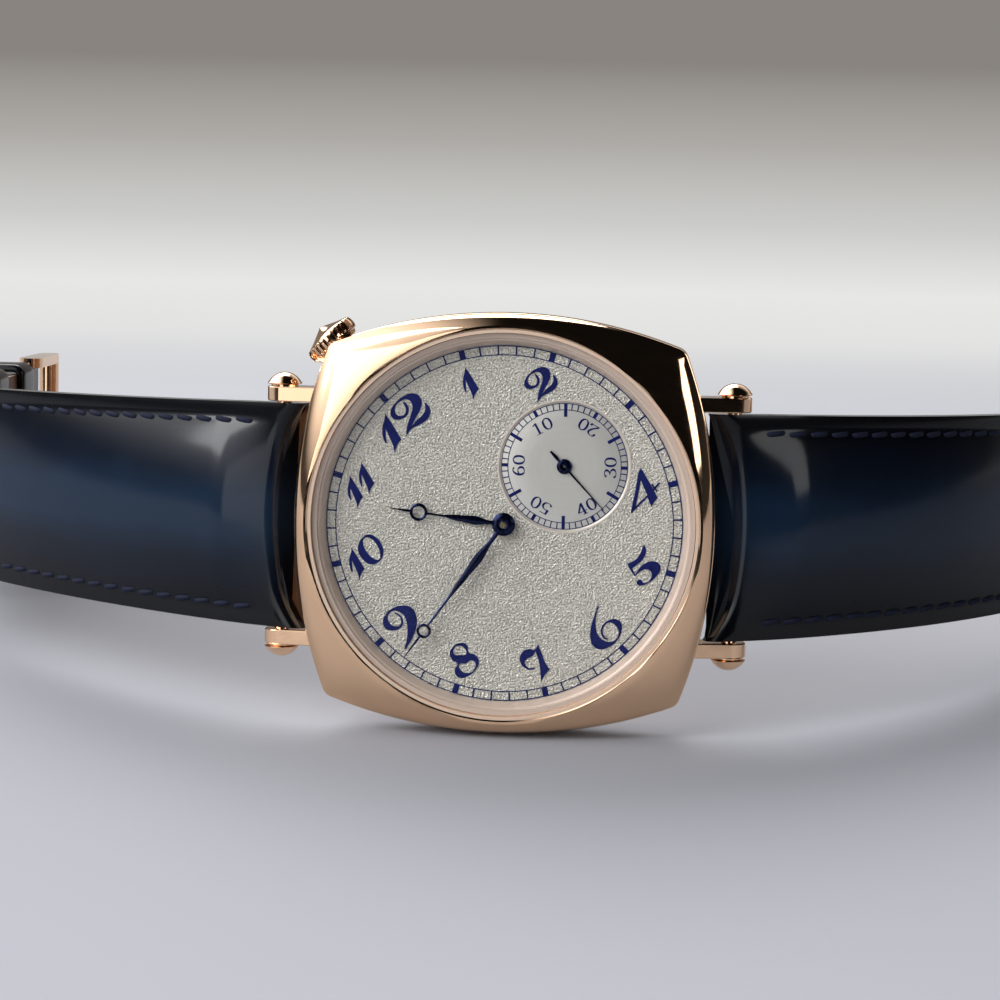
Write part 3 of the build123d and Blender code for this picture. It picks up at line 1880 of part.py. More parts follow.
lean = radians(lean_back)
standing = Plane(origin=(0, 0, 0), x_dir=(1, 0, 0), z_dir=(0, -cos(lean), sin(lean)))
placed = {name: piece.moved(standing.location) for name, piece in pieces.items()}
boxes = [piece.bounding_box() for piece in placed.values()]
least = [min(tuple(box.min)[way] for box in boxes) for way in range(3)]
most = [max(tuple(box.max)[way] for box in boxes) for way in range(3)]
to_floor = Location((-(least[0] + most[0]) / 2, -(least[1] + most[1]) / 2, -least[2]))

os.makedirs("parts", exist_ok=True)
for name, piece in placed.items():
    finished = piece.moved(to_floor)
    finished.label = name
    export_step(finished, f"parts/{name}.step")
hairspring_gap = coil_gap(
    hairspring_line, hairspring_samples, hairspring_inner, hairspring_wire
)
print("least gap between the hairspring's turns:", hairspring_gap)
print("pieces:", len(placed), "from", least, "to", most)
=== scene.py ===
from math import asin, atan2, cos, degrees, hypot, radians, sin, sqrt

import bmesh
import bpy
from mathutils import Matrix, Vector

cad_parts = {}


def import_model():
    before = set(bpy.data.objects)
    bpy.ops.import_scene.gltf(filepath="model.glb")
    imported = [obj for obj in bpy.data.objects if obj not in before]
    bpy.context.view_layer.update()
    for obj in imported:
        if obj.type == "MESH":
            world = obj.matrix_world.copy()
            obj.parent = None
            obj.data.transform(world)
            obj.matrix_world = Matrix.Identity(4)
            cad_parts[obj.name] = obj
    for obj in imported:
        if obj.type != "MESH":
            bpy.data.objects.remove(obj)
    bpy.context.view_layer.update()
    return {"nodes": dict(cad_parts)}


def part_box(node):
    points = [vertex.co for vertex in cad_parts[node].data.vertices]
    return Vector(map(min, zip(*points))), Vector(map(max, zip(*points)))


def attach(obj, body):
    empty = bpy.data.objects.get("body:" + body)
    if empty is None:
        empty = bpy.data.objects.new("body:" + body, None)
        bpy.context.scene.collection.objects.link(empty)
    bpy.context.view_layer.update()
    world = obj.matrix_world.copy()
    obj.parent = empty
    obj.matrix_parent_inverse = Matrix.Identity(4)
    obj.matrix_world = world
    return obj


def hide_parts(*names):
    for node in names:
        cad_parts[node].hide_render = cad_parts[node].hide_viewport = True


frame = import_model()
nodes = frame["nodes"]

# The bench frame: millimetres, the dial's face in XY, its middle at the origin, +Z out of it.
# The whole watch stands on the lower side of its case, leaning back by this angle.
MM = 0.001
LEAN = radians(7.47)
ALONG = Vector((1, 0, 0))
UP = Vector((0, sin(LEAN), cos(LEAN)))
OUT = Vector((0, -cos(LEAN), sin(LEAN)))
DIAL_THICKNESS = 0.4
dial_low, dial_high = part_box("dial")
ORIGIN = (dial_low + dial_high) / 2 + OUT * DIAL_THICKNESS / 2 * MM

# Sizes that the pieces share, in bench millimetres, and bearings in degrees
CASE_HALF = 20.0
CASE_ARC = 46.0
CASE_CORNER = 1.4
CASE_TOP = 0.45
CASE_TAPER_START = -2.2
CASE_BOTTOM = -3.9
CASE_TAPER = 1.0
CASE_BORE = 17.7
DIAL_SEAT = 18.35
CROWN_BEARING = 135.0
CROWN_SEAT_REACH = 22.85
STEM_HEIGHT = -2.1
BAR_REACH = 21.5
BAR_HEIGHT = -2.8
LUG_GAP = 22.0
LUG_THICKNESS = 1.4
LUGS = ((-1, -1), (-1, 1), (1, -1), (1, 1))
SUB_REACH = 7.95
SUB_BEARING = 45.0
SUB_DEPTH = 0.18
TRACK_INNER = 16.05
TRACK_OUTER = 16.9
PRINT_HEIGHT = 0.03
PRINT_FOOT = 0.004
NUMERAL_HEIGHT = 0.045
HOUR_TURN = CROWN_BEARING - 30 * 10.72
MINUTE_TURN = CROWN_BEARING - 6 * 43.4
SECONDS_TURN = CROWN_BEARING + SUB_BEARING - 6 * 37.8
STRAP_WIDTH = 21.7
STRAP_END_WIDTH = 19.0
STRAP_EDGE = 2.2
BAR_BOW = 1.3


def bench(x, y, z=0.0):
    """A bench point, in millimetres, as a place in the row frame, in metres."""
    return ORIGIN + (ALONG * x + UP * y + OUT * z) * MM


def polar(radius, bearing, start=(0.0, 0.0)):
    """A point at a radius and bearing from a start point."""
    return (start[0] + radius * cos(radians(bearing)), start[1] + radius * sin(radians(bearing)))


def beside(at, bearing, reach, across):
    """A point at a reach along a bearing and a distance to its left."""
    way = polar(1, bearing)
    return (at[0] + reach * way[0] - across * way[1], at[1] + reach * way[1] + across * way[0])


SUB_AT = polar(SUB_REACH, SUB_BEARING)


# Materials

class Tree:
    """A node tree under construction."""

    def __init__(self, tree):
        self.tree = tree

    def feed(self, socket, source):
        """Link a socket to another one, or set its value."""
        if isinstance(source, bpy.types.NodeSocket):
            self.tree.links.new(source, socket)
        elif source is not None:
            socket.default_value = source

    def node(self, kind, *sources, operation=None, **named):
        """A new node, its inputs fed in order or by name."""
        made = self.tree.nodes.new("ShaderNode" + kind)
        if operation:
            made.operation = operation
        for socket, source in zip(made.inputs, sources):
            self.feed(socket, source)
        for name, source in named.items():
            self.feed(made.inputs[name.replace("_", " ")], source)
        return made

    def math(self, operation, *sources):
        return self.node("Math", *sources, operation=operation).outputs["Value"]

    def vector(self, operation, *sources, result="Vector"):
        return self.node("VectorMath", *sources, operation=operation).outputs[result]

    def parts(self, vector):
        return self.node("SeparateXYZ", vector).outputs

    def noise(self, vector, scale, detail=2.0):
        return self.node("TexNoise", vector, Scale=scale, Detail=detail).outputs["Fac"]

    def span(self, value, low, high, start=0.0, end=1.0, kind="LINEAR"):
        """A value moved from one range to another and held there."""
        made = self.node("MapRange", value, start, end, low, high)
        made.interpolation_type = kind
        return made.outputs["Result"]

    def ramp(self, value, *stops):
        """Colours along a value, from (place, colour) stops."""
        made = self.node("ValToRGB", value)
        elements = made.color_ramp.elements
        while len(elements) < len(stops):
            elements.new(1.0)
        for element, (place, color) in zip(elements, stops):
            element.position = place
            element.color = (*color, 1.0)
        return made.outputs["Color"]


class Paint(Tree):
    """A material under construction, on the Principled shader."""

    def __init__(self, name, color, roughness, metallic=0.0, **named):
        self.material = bpy.data.materials.new(name)
        self.material.use_nodes = True
        super().__init__(self.material.node_tree)
        self.shader = self.tree.nodes["Principled BSDF"]
        self.give(Base_Color=(*color, 1.0), Roughness=roughness, Metallic=metallic, **named)

    def give(self, **named):
        """Feed the shader's inputs."""
        for name, source in named.items():
            self.feed(self.shader.inputs[name.replace("_", " ")], source)

    def tint(self, value, *stops):
        self.give(Base_Color=self.ramp(value, *stops))

    def place(self, scale=(1000.0, 1000.0, 1000.0)):
        """Object coordinates, in millimetres of the row frame unless scaled."""
        here = self.node("TexCoord").outputs["Object"]
        return self.node("Mapping", here, Scale=scale).outputs["Vector"]

    def cloud(self, scale, detail, *stops):
        """Colours that change in soft clouds."""
        self.tint(self.noise(self.place(), scale, detail), *stops)

    def bench_place(self):
        """Coordinates in the bench frame, in millimetres."""
        here = self.vector("SUBTRACT", self.node("TexCoord").outputs["Object"], ORIGIN)
        parts = [
            self.vector("DOT_PRODUCT", here, axis / MM, result="Value") for axis in (ALONG, UP, OUT)
        ]
        return self.node("CombineXYZ", *parts).outputs["Vector"]

    def bump(self, height, strength, distance, under=None):
        made = self.node(
            "Bump", Strength=strength, Distance=distance * MM, Height=height, Normal=under
        )
        self.give(Normal=made.outputs["Normal"])
        return made.outputs["Normal"]


def shade(color, factor):
    return [part * factor for part in color]


def polished_metal(name, color, roughness, scratch):
    """Polished metal with faint hairlines and a slight unevenness of colour and gloss."""
    paint = Paint(name, color, roughness, 1.0)
    paint.cloud(0.35, 3.0, (0.3, shade(color, 0.96)), (0.7, color))
    hairs = paint.noise(paint.place((300.0, 4000.0, 900.0)), 1.0)
    paint.give(Roughness=paint.span(hairs, roughness * 0.8, roughness * 1.35, 0.35, 0.7))
    paint.bump(hairs, 0.02 * scratch, 0.01)
    return paint.material


def frosted_dial():
    """Silver cream with a fine hammered grain."""
    paint = Paint("dial_frosted", (0.50, 0.475, 0.42), 0.30, 0.35)
    place = paint.bench_place()
    grain = paint.span(paint.noise(place, 5.2, 1.0), 0.0, 1.0, 0.30, 0.70)
    paint.tint(grain, (0.0, (0.36, 0.34, 0.295)), (1.0, (0.66, 0.635, 0.565)))
    paint.bump(paint.math("MULTIPLY_ADD", paint.noise(place, 14.0, 1.0), 0.25, grain), 1.0, 0.12)
    return paint.material


def turned_metal(name, color, roughness, at, pitch, strength, metallic):
    """Metal turned in fine circles about a bench point."""
    paint = Paint(name, color, roughness, metallic)
    shifted = paint.vector("SUBTRACT", paint.bench_place(), (*at, 0.0))
    flat = paint.vector("MULTIPLY", shifted, (1.0, 1.0, 0.0))
    reach = paint.vector("LENGTH", flat, result="Value")
    circles = paint.noise(paint.node("CombineXYZ", reach).outputs["Vector"], 1.0 / pitch, 3.0)
    paint.tint(circles, (0.35, shade(color, 0.93)), (0.65, color))
    paint.bump(circles, strength, 0.02)
    return paint.material


def striped_nickel():
    """Nickel plate with broad polished stripes and fine brushing."""
    paint = Paint("nickel_striped", (0.68, 0.66, 0.62), 0.26, 1.0)
    place = paint.bench_place()
    parts = paint.parts(place)
    half_stripe = 1.3
    wave = paint.math("PINGPONG", paint.math("SUBTRACT", parts["X"], parts["Y"]), half_stripe)
    paint.tint(paint.span(wave, 0.0, 1.0, 0.0, half_stripe),
               (0.0, (0.52, 0.50, 0.47)), (1.0, (0.76, 0.74, 0.70)))
    paint.bump(paint.noise(place, 9.0, 3.0), 0.05, 0.02, paint.bump(wave, 0.35, 0.10))
    return paint.material


def pearled_nickel():
    """Nickel plate under small overlapping polished spots."""
    paint = Paint("nickel_pearled", (0.62, 0.60, 0.56), 0.3, 1.0)
    cells = paint.node("TexVoronoi", paint.bench_place(), Scale=0.9, Randomness=0.0)
    paint.bump(paint.math("PINGPONG", cells.outputs["Distance"], 0.12), 0.3, 0.15)
    return paint.material


def blue_print():
    """Printed blue, faintly uneven."""
    color = (0.005, 0.009, 0.078)
    paint = Paint("blue_print", color, 0.55, Specular_IOR_Level=0.12)
    paint.cloud(1.2, 3.0, (0.35, shade(color, 0.8)), (0.7, shade(color, 1.2)))
    return paint.material


def blued_steel(name, color, roughness):
    """Steel turned dark blue by heat, polished."""
    paint = Paint(name, color, roughness, 0.9, Coat_Weight=0.12, Coat_Roughness=0.06)
    paint.cloud(0.8, 2.0, (0.3, shade(color, 0.6)), (0.7, shade(color, 1.5)))
    return paint.material


def leather():
    """Glazed dark blue calf: fine pores, soft wrinkles, and painted shade that darkens the face to
    nearly black towards its edges.
    """
    paint = Paint("navy_leather", (0.007, 0.016, 0.042), 0.36,
                  Specular_IOR_Level=0.04, Coat_Weight=0.5, Coat_Roughness=0.13)
    place = paint.place()
    wrinkles = paint.noise(paint.place((1000.0, 260.0, 1000.0)), 0.45)
    # Painted shade: the colour darkens with the distance from the strap's middle line, broken up by
    # noise.
    aside = paint.math("ABSOLUTE", paint.parts(paint.bench_place())["Y"])
    spread = paint.math("MULTIPLY_ADD", paint.noise(place, 0.12, 3.0), 3.5, aside)
    paint.tint(
        paint.span(spread, 0.0, 1.0, 3.5, 11.0),
        (0.0, (0.005, 0.014, 0.031)), (0.4, (0.002, 0.005, 0.012)), (1.0, (0.0008, 0.001, 0.002)),
    )
    paint.give(Roughness=paint.span(wrinkles, 0.32, 0.44, 0.3, 0.7))
    paint.bump(paint.noise(place, 2.4, 1.0), 0.10, 0.05, paint.bump(wrinkles, 0.07, 0.10))
    return paint.material


def lining():
    """Soft matt leather against the wrist."""
    paint = Paint("lining_leather", (0.16, 0.085, 0.045), 0.7)
    paint.cloud(0.5, 5.0, (0.3, (0.12, 0.06, 0.032)), (0.7, (0.21, 0.115, 0.062)))
    paint.bump(paint.noise(paint.place(), 5.0, 3.0), 0.25, 0.06)
    return paint.material


def thread():
    """Twisted waxed thread."""
    paint = Paint("navy_thread", (0.004, 0.006, 0.020), 0.7, Specular_IOR_Level=0.2)
    wave = paint.node("TexWave", paint.place(), Scale=2.6, Distortion=0.4, Detail=1.0)
    twist = wave.outputs["Fac"]
    paint.tint(twist, (0.0, (0.002, 0.003, 0.010)), (1.0, (0.006, 0.010, 0.030)))
    paint.bump(twist, 0.4, 0.05)
    return paint.material


def seal():
    """A pale, slightly waxy gasket."""
    paint = Paint("pale_gasket", (0.60, 0.44, 0.33), 0.32,
                  Subsurface_Weight=0.25, Subsurface_Scale=0.5 * MM)
    paint.bump(paint.noise(paint.place(), 3.0), 0.2, 0.02)
    return paint.material


def glass(name):
    """Clear crystal: light passes straight through, and its outer faces shine at a slant."""
    material = bpy.data.materials.new(name)
    material.use_nodes = True
    paint = Tree(material.node_tree)
    paint.tree.nodes.clear()
    smear = paint.noise(paint.node("TexCoord").outputs["Object"], 120.0)
    gloss = paint.node("BsdfGlossy", Roughness=paint.span(smear, 0.01, 0.05))
    clear = paint.node("BsdfTransparent", (0.995, 0.997, 0.997, 1.0))
    outside = paint.math("SUBTRACT", 1.0, paint.node("NewGeometry").outputs["Backfacing"])
    shine = paint.math("MULTIPLY", paint.node("Fresnel", 1.2).outputs["Fac"], outside)
    mix = paint.node("MixShader", shine, clear.outputs["BSDF"], gloss.outputs["BSDF"])
    paint.node("OutputMaterial", mix.outputs["Shader"])
    return material


def ruby():
    paint = Paint("ruby", (0.5, 0.015, 0.06), 0.08, Coat_Weight=1.0)
    paint.cloud(2.0, 2.0, (0.3, (0.38, 0.01, 0.04)), (0.7, (0.62, 0.03, 0.10)))
    return paint.material


GOLD = polished_metal("rose_gold", (0.83, 0.55, 0.35), 0.07, 0.25)
# A dark gold that paints shade on the floors of the crown's grooves
GROOVE_SHADE = polished_metal("rose_gold_groove_shade", (0.10, 0.05, 0.028), 0.45, 1.0)
GOLD_SATIN = polished_metal("rose_gold_satin", (0.84, 0.55, 0.38), 0.2, 1.0)
FROSTED = frosted_dial()
SUB_SILVER = turned_metal("seconds_dial_silver", (0.58, 0.565, 0.52), 0.32, SUB_AT, 0.16, 0.2, 0.5)
RIM_SILVER = turned_metal("dial_rim_cream", (0.70, 0.63, 0.55), 0.35, (0, 0), 0.2, 0.1, 0.5)
RING = turned_metal("inner_ring_cream", (0.62, 0.49, 0.405), 0.3, (0, 0), 0.12, 0.2, 0.3)
NICKEL = striped_nickel()
PEARLED = pearled_nickel()
STEEL = polished_metal("polished_steel", (0.60, 0.60, 0.61), 0.14, 0.6)
SUNRAY_STEEL = polished_metal("brushed_steel", (0.40, 0.40, 0.41), 0.22, 2.0)
BRASS = polished_metal("wheel_brass", (0.80, 0.60, 0.28), 0.18, 1.0)
BLUE_PRINT = blue_print()
BLUED = blued_steel("blued_steel", (0.004, 0.007, 0.030), 0.16)
SCREW_BLUE = blued_steel("screw_blue", (0.02, 0.05, 0.30), 0.15)
RUBY = ruby()
GLASS = glass("sapphire")
BACK_GLASS = glass("back_sapphire")
LEATHER = leather()
LINING = lining()
THREAD = thread()
GASKET = seal()


# Meshes. Everything is drawn in bench millimetres and placed as it is filed.

def add(name, data):
    """Put a new object in the scene."""
    made = bpy.data.objects.new(name, data)
    bpy.context.scene.collection.objects.link(made)
    return made


def file_mesh(mesh, name, material, body, slot, replaced=(), crease=30.0):
    """Make a piece of a mesh in the row frame, smooth but for its creases."""
    mesh.name = name
    mesh.shade_smooth()
    mesh.set_sharp_from_angle(angle=radians(crease))
    mesh.materials.clear()
    mesh.materials.append(material)
    piece = add(name, mesh)
    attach(piece, body)
    if replaced:
        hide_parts(*replaced)
    return piece


class Shape:
    """Points and faces gathered for one mesh. Its rows are rings of points."""

    def __init__(self):
        self.points = []
        self.faces = []

    def rows(self, rows, closed=False):
        """Faces between rings of points. Where closed, the last ring meets the first."""
        start = len(self.points)
        count = len(rows[0])
        for row in rows:
            self.points.extend(row)
        for row in range(len(rows) if closed else len(rows) - 1):
            above = start + row * count
            below = start + (row + 1) % len(rows) * count
            for step in range(count):
                after = (step + 1) % count
                self.faces.append((above + step, above + after, below + after, below + step))

    def cap(self, row):
        """One face over a ring of points."""
        start = len(self.points)
        self.points.extend(row)
        self.faces.append(tuple(range(start, start + len(row))))

    def body(self, rows):
        """A solid through rings of points."""
        self.rows(rows)
        self.cap(rows[0])
        self.cap(rows[-1])

    def turn(self, profile, at, steps):
        """A closed ring turned from a profile of (radius, height) points."""
        self.rows(turned(profile, at, steps), closed=True)

    def mesh(self):
        """The shape in the row frame, its doubles joined and its faces turned outward."""
        mesh = bpy.data.meshes.new("shape")
        mesh.from_pydata([bench(*point) for point in self.points], [], self.faces)
        mesh.validate()
        clean = bmesh.new()
        clean.from_mesh(mesh)
        bmesh.ops.remove_doubles(clean, verts=clean.verts, dist=0.0005 * MM)
        bmesh.ops.recalc_face_normals(clean, faces=clean.faces)
        clean.to_mesh(mesh)
        clean.free()
        return mesh

    def file(self, *about, **more):
        return file_mesh(self.mesh(), *about, **more)


def turned(profile, at, steps):
    """Rings of points round a profile of (radius, height) points."""
    return [
        [(*polar(radius, 360 * step / steps, at), height) for step in range(steps)]
        for radius, height in profile
    ]


def arc(centre, radius, start, end, steps):
    """Points of an arc in a plane, by angles in degrees."""
    return [
        polar(radius, start + (end - start) * step / steps, centre) for step in range(steps + 1)
    ]


def at_height(points, height):
    return [(x, y, height) for x, y in points]


def round_row(points, radius, height):
    """A circle's points on the same bearings as an outline's."""
    return [(*polar(radius, degrees(atan2(y, x))), height) for x, y in points]


# Case. Its outline is a cushion: a square with bulging sides and rounded corners.

SIDE_STEPS = 40
CORNER_STEPS = 24


def cushion(half, side_arc, corner):
    middle = side_arc - half
    reach = side_arc - corner
    along = (sqrt(2 * reach**2 - middle**2) - middle) / 2
    swing = degrees(atan2(along, along + middle))
    points = []
    for side in (0, 90, 180, 270):
        side_centre = polar(-middle, side)
        points += arc(side_centre, side_arc, side - swing, side + swing, SIDE_STEPS)[:-1]
        corner_at = polar(along * sqrt(2), side + 45)
        points += arc(corner_at, corner, side + swing, side + 90 - swing, CORNER_STEPS)[:-1]
    return points


def case_outline(inset):
    """The case's outline drawn in by an inset, flattened where the crown sits."""
    out = polar(1, CROWN_BEARING)
    points = []
    for x, y in cushion(CASE_HALF - inset, CASE_ARC - inset, CASE_CORNER - inset):
        over = max(x * out[0] + y * out[1] - CROWN_SEAT_REACH, 0.0)
        points.append((x - over * out[0], y - over * out[1]))
    return points


def lug(shape, side, end):
    """One lug: a bar with its end rounded about the strap bar."""
    root, foot, brow = 17.6, -3.8, -0.7
    end_radius, edge = 1.65, 0.09
    near = end * LUG_GAP / 2
    far = end * (LUG_GAP / 2 + LUG_THICKNESS)
    tip = arc((BAR_REACH, BAR_HEIGHT), end_radius, 90, -90, 20)
    outline = [(side * x, z) for x, z in [(root, foot), (root, brow), *tip]]
    middle = [sum(part) / len(outline) for part in zip(*outline)]

    def row(y, inset):
        points = []
        for x, z in outline:
            share = 1 - inset / hypot(x - middle[0], z - middle[1])
            points.append((middle[0] + (x - middle[0]) * share, y,
                           middle[1] + (z - middle[1]) * share))
        return points

    shape.body([row(near, edge), row(near + end * edge, 0), row(far - end * edge, 0),
                row(far, edge)])


def case_middle():
    outline = case_outline(0)
    shape = Shape()
    shape.rows([
        round_row(outline, CASE_BORE, CASE_BOTTOM),
        round_row(outline, CASE_BORE, -DIAL_THICKNESS),
        round_row(outline, DIAL_SEAT, -DIAL_THICKNESS),
        round_row(outline, DIAL_SEAT, CASE_TOP),
        *(at_height(case_outline(inset), height) for inset, height in (
            (0.13, CASE_TOP), (0.04, CASE_TOP - 0.05), (0, CASE_TOP - 0.14),
            (0, CASE_TAPER_START + 0.1), (0.03, CASE_TAPER_START - 0.1),
            (CASE_TAPER - 0.1, CASE_BOTTOM + 0.12), (CASE_TAPER + 0.05, CASE_BOTTOM),
        )),
    ], closed=True)
    for side, end in LUGS:
        lug(shape, side, end)
    shape.file("case_body", GOLD, "watch_head", "gold_case", ["case_middle"])


# The bezel's foot, waist and top: height, half width, side arc and corner of each cushion
BEZEL_SECTIONS = (
    (0.75, 19.9, 45.9, 1.3),
    (1.5, 19.5, 33.0, 6.0),
    (2.0, 18.9, 19.5, 18.2),
)
BEZEL_FOOT_EDGE = (19.78, 45.78, 1.18)
BEZEL_WAIST_SHARE = 0.55
BEZEL_OPENING = 18.55
BEZEL_LEDGE = 17.75


def bezel_rows(steps):
    """Rows up the bezel's slope, smooth through its three sections."""
    low, waist, top = [
        [Vector((x, y, height)) for x, y in cushion(half, side_arc, corner)]
        for height, half, side_arc, corner in BEZEL_SECTIONS
    ]
    share = BEZEL_WAIST_SHARE
    rows = []
    for step in range(steps + 1):
        t = step / steps
        first = (t - share) * (t - 1) / share
        second = t * (t - 1) / (share * (share - 1))
        third = t * (t - share) / (1 - share)
        rows.append([
            tuple(a * first + b * second + c * third) for a, b, c in zip(low, waist, top)
        ])
    return rows


def bezel():
    foot = cushion(*BEZEL_SECTIONS[0][1:])
    shape = Shape()
    shape.rows([
        round_row(foot, DIAL_SEAT - 0.02, 0.03),
        round_row(foot, DIAL_SEAT - 0.02, CASE_TOP),
        at_height(cushion(*BEZEL_FOOT_EDGE), CASE_TOP),
        at_height(foot, CASE_TOP + 0.1),
        *bezel_rows(14),
        *(round_row(foot, radius, height) for radius, height in (
            (BEZEL_OPENING + 0.12, 2.0), (BEZEL_OPENING, 1.9), (BEZEL_OPENING, 1.3),
            (BEZEL_LEDGE, 1.3), (BEZEL_LEDGE, 0.03),
        )),
    ], closed=True)
    shape.file("bezel_ring", GOLD, "watch_head", "gold_case", ["bezel"], crease=24.0)


def crystal():
    """The sapphire: a polished edge, a soft bevel and a barely domed face."""
    profile = [(16.0, 1.345), (18.2, 1.345), (18.2, 1.85), (18.05, 1.98)]
    for step in range(12):
        share = 1 - step / 12
        profile.append((16.9 * share, 2.36 + 0.14 * (1 - share**2)))
    shape = Shape()
    shape.body(turned(profile, (0.0, 0.0), 160))
    shape.file("crystal_glass", GLASS, "watch_head", "glass", ["crystal"], crease=18.0)


def inner_ring():
    """The sloping ring that hides the dial's edge."""
    profile = [
        (17.08, 0.035), (17.0, 0.08), (17.02, 0.14), (17.42, 0.92), (17.47, 0.98), (17.62, 1.03),
        (17.66, 1.10), (17.70, 1.32), (18.16, 1.33), (18.16, 1.305), (17.74, 1.305), (17.74, 0.035),
    ]
    shape = Shape()
    shape.turn(profile, (0.0, 0.0), 180)
    shape.file("inner_ring", RING, "watch_head", "gold_case", crease=20.0)


def ball_caps():
    """Four round heads, each on a narrow neck over the lug's side."""
    neck, base, rise, groove, steps = 1.3, 1.68, 1.33, 0.22, 36
    height = rise - groove
    radius = (base**2 + height**2) / (2 * height)
    start = degrees(asin((radius - height) / radius))
    profile = [(neck, 0.0), (neck, groove - 0.06), (base - 0.1, groove - 0.02),
               (base, groove + 0.08)]
    profile += arc((0.0, rise - radius), radius, start, 90, 12)[1:-1]
    shape = Shape()
    face = LUG_GAP / 2 + LUG_THICKNESS
    for side, end in LUGS:
        at = (side * BAR_REACH, BAR_HEIGHT)
        rows = []
        for reach, out in [*profile, (0.0, rise)]:
            circle = [polar(reach, 360 * step / steps, at) for step in range(steps)]
            rows.append([(x, end * (face + out), z) for x, z in circle])
        shape.rows(rows)
        shape.cap(rows[0])
    shape.file("lug_balls", GOLD, "watch_head", "gold_case", ["lug_caps"], crease=40.0)


def crown():
    """The crown: a plain collar, a ring of narrow round-ended grooves and a low cone; its groove
    floors are painted dark as painted shade.
    """
    grooves, per_groove = 30, 14
    groove_start, groove_end, groove_depth = 0.44, 1.62, 0.34
    steps = grooves * per_groove
    start = CROWN_SEAT_REACH + 0.08

    def row(radius, along, depth=0.0):
        points = []
        for step in range(steps):
            angle = radians(360 * step / steps)
            reach = radius - depth * min(max(cos(grooves * angle) + 0.15, 0.0) * 2.2, 1.0)
            points.append((*beside((0, 0), CROWN_BEARING, start + along, reach * cos(angle)),
                           STEM_HEIGHT + reach * sin(angle)))
        return points

    collar = ((1.05, 0.0), (2.05, 0.0), (2.2, 0.06), (2.3, 0.26), (2.34, 0.36), (2.5, 0.40))
    cone = ((2.44, 1.67), (2.3, 1.70), (2.26, 1.73), (1.9, 1.86), (1.4, 2.06), (0.9, 2.28),
            (0.5, 2.46), (0.28, 2.56), (0.14, 2.63), (0.04, 2.66))
    rows = [row(*place) for place in collar]
    for step in range(15):
        share = step / 14
        swell = sin(radians(180 * share))
        along = groove_start + (groove_end - groove_start) * share
        rows.append(row(2.52 + 0.16 * swell**0.6, along, groove_depth * max(swell - 0.12, 0.0)))
    rows += [row(*place) for place in cone]
    shape = Shape()
    shape.body(rows)
    knob = shape.file("crown_knob", GOLD, "crown_and_stem", "gold_case", ["crown"], crease=28.0)
    # Painted shade: the faces deep in the grooves take the dark gold.
    knob.data.materials.append(GROOVE_SHADE)
    foot = bench(*polar(start, CROWN_BEARING), STEM_HEIGHT)
    way = (bench(*polar(1, CROWN_BEARING)) - bench(0, 0)).normalized()
    for face in knob.data.polygons:
        reach = (face.center - foot) / MM
        along = reach.dot(way)
        within = groove_start + 0.1 < along < groove_end - 0.1
        if within and (reach - way * along).length < 2.5:
            face.material_index = 1


case_middle()
bezel()
crystal()
inner_ring()
ball_caps()
crown()


# Dial printing: the minute track, the numerals and the seconds track

def band(shape, inner, outer, low, high, at=(0.0, 0.0), steps=180):
    """A thin flat ring."""
    profile = [(inner, low), (outer, low), (outer, high), (inner, high)]
    shape.turn(profile, at, steps)


def tick(shape, at, bearing, inner, outer, width, low, high):
    """A thin bar along a radius."""
    corners = ((inner, -width), (outer, -width), (outer, width), (inner, width))
    outline = [beside(at, bearing, reach, across / 2) for reach, across in corners]
    shape.body([at_height(outline, low), at_height(outline, high)])


def minute_track():
    shape = Shape()
    half_line = 0.045
    for radius in (TRACK_INNER, TRACK_OUTER):
        band(shape, radius - half_line, radius + half_line, PRINT_FOOT, PRINT_HEIGHT)
    for count in range(60):
        width = 0.55 if count % 5 == 0 else 0.14
        tick(shape, (0, 0), CROWN_BEARING - 6 * count, TRACK_INNER, TRACK_OUTER, width,
             PRINT_FOOT, PRINT_HEIGHT - 0.003)
    shape.file("minute_track", BLUE_PRINT, "watch_head", "dial")


def seconds_dial():
    """The sunk disc, its bright bevel and its printed track."""
    floor, steps = -SUB_DEPTH, 120
    for name, paint, profile in (
        ("seconds_disc", SUB_SILVER, [
            (0.32, floor + 0.012), (3.0, floor + 0.012), (6.12, floor + 0.012),
            (6.15, floor + 0.004), (0.32, floor + 0.004),
        ]),
        ("seconds_rim", RIM_SILVER, [
            (6.03, floor + 0.014), (6.19, floor + 0.014), (6.19, 0.03), (6.34, 0.03),
            (6.34, 0.005), (6.21, 0.0),
        ]),
    ):
        shape = Shape()
        shape.turn(profile, SUB_AT, steps)
        shape.file(name, paint, "watch_head", "dial")
    track = Shape()
    low = floor + 0.013
    high = floor + 0.035
    for inner in (5.93, 5.33):
        band(track, inner, inner + 0.07, low, high, SUB_AT, steps)
    for count in range(60):
        inner = 4.7 if count % 10 == 5 else 5.37
        width = 0.1 if count % 5 else 0.32
        tick(track, SUB_AT, 180 - 6 * count, inner, 5.97, width, low, high - 0.003)
    track.file("seconds_track", BLUE_PRINT, "watch_head", "dial")


def in_whole(lines):
    """Lines of points from hundredths."""
    return [[[number / 100 for number in point] for point in line] for line in lines]


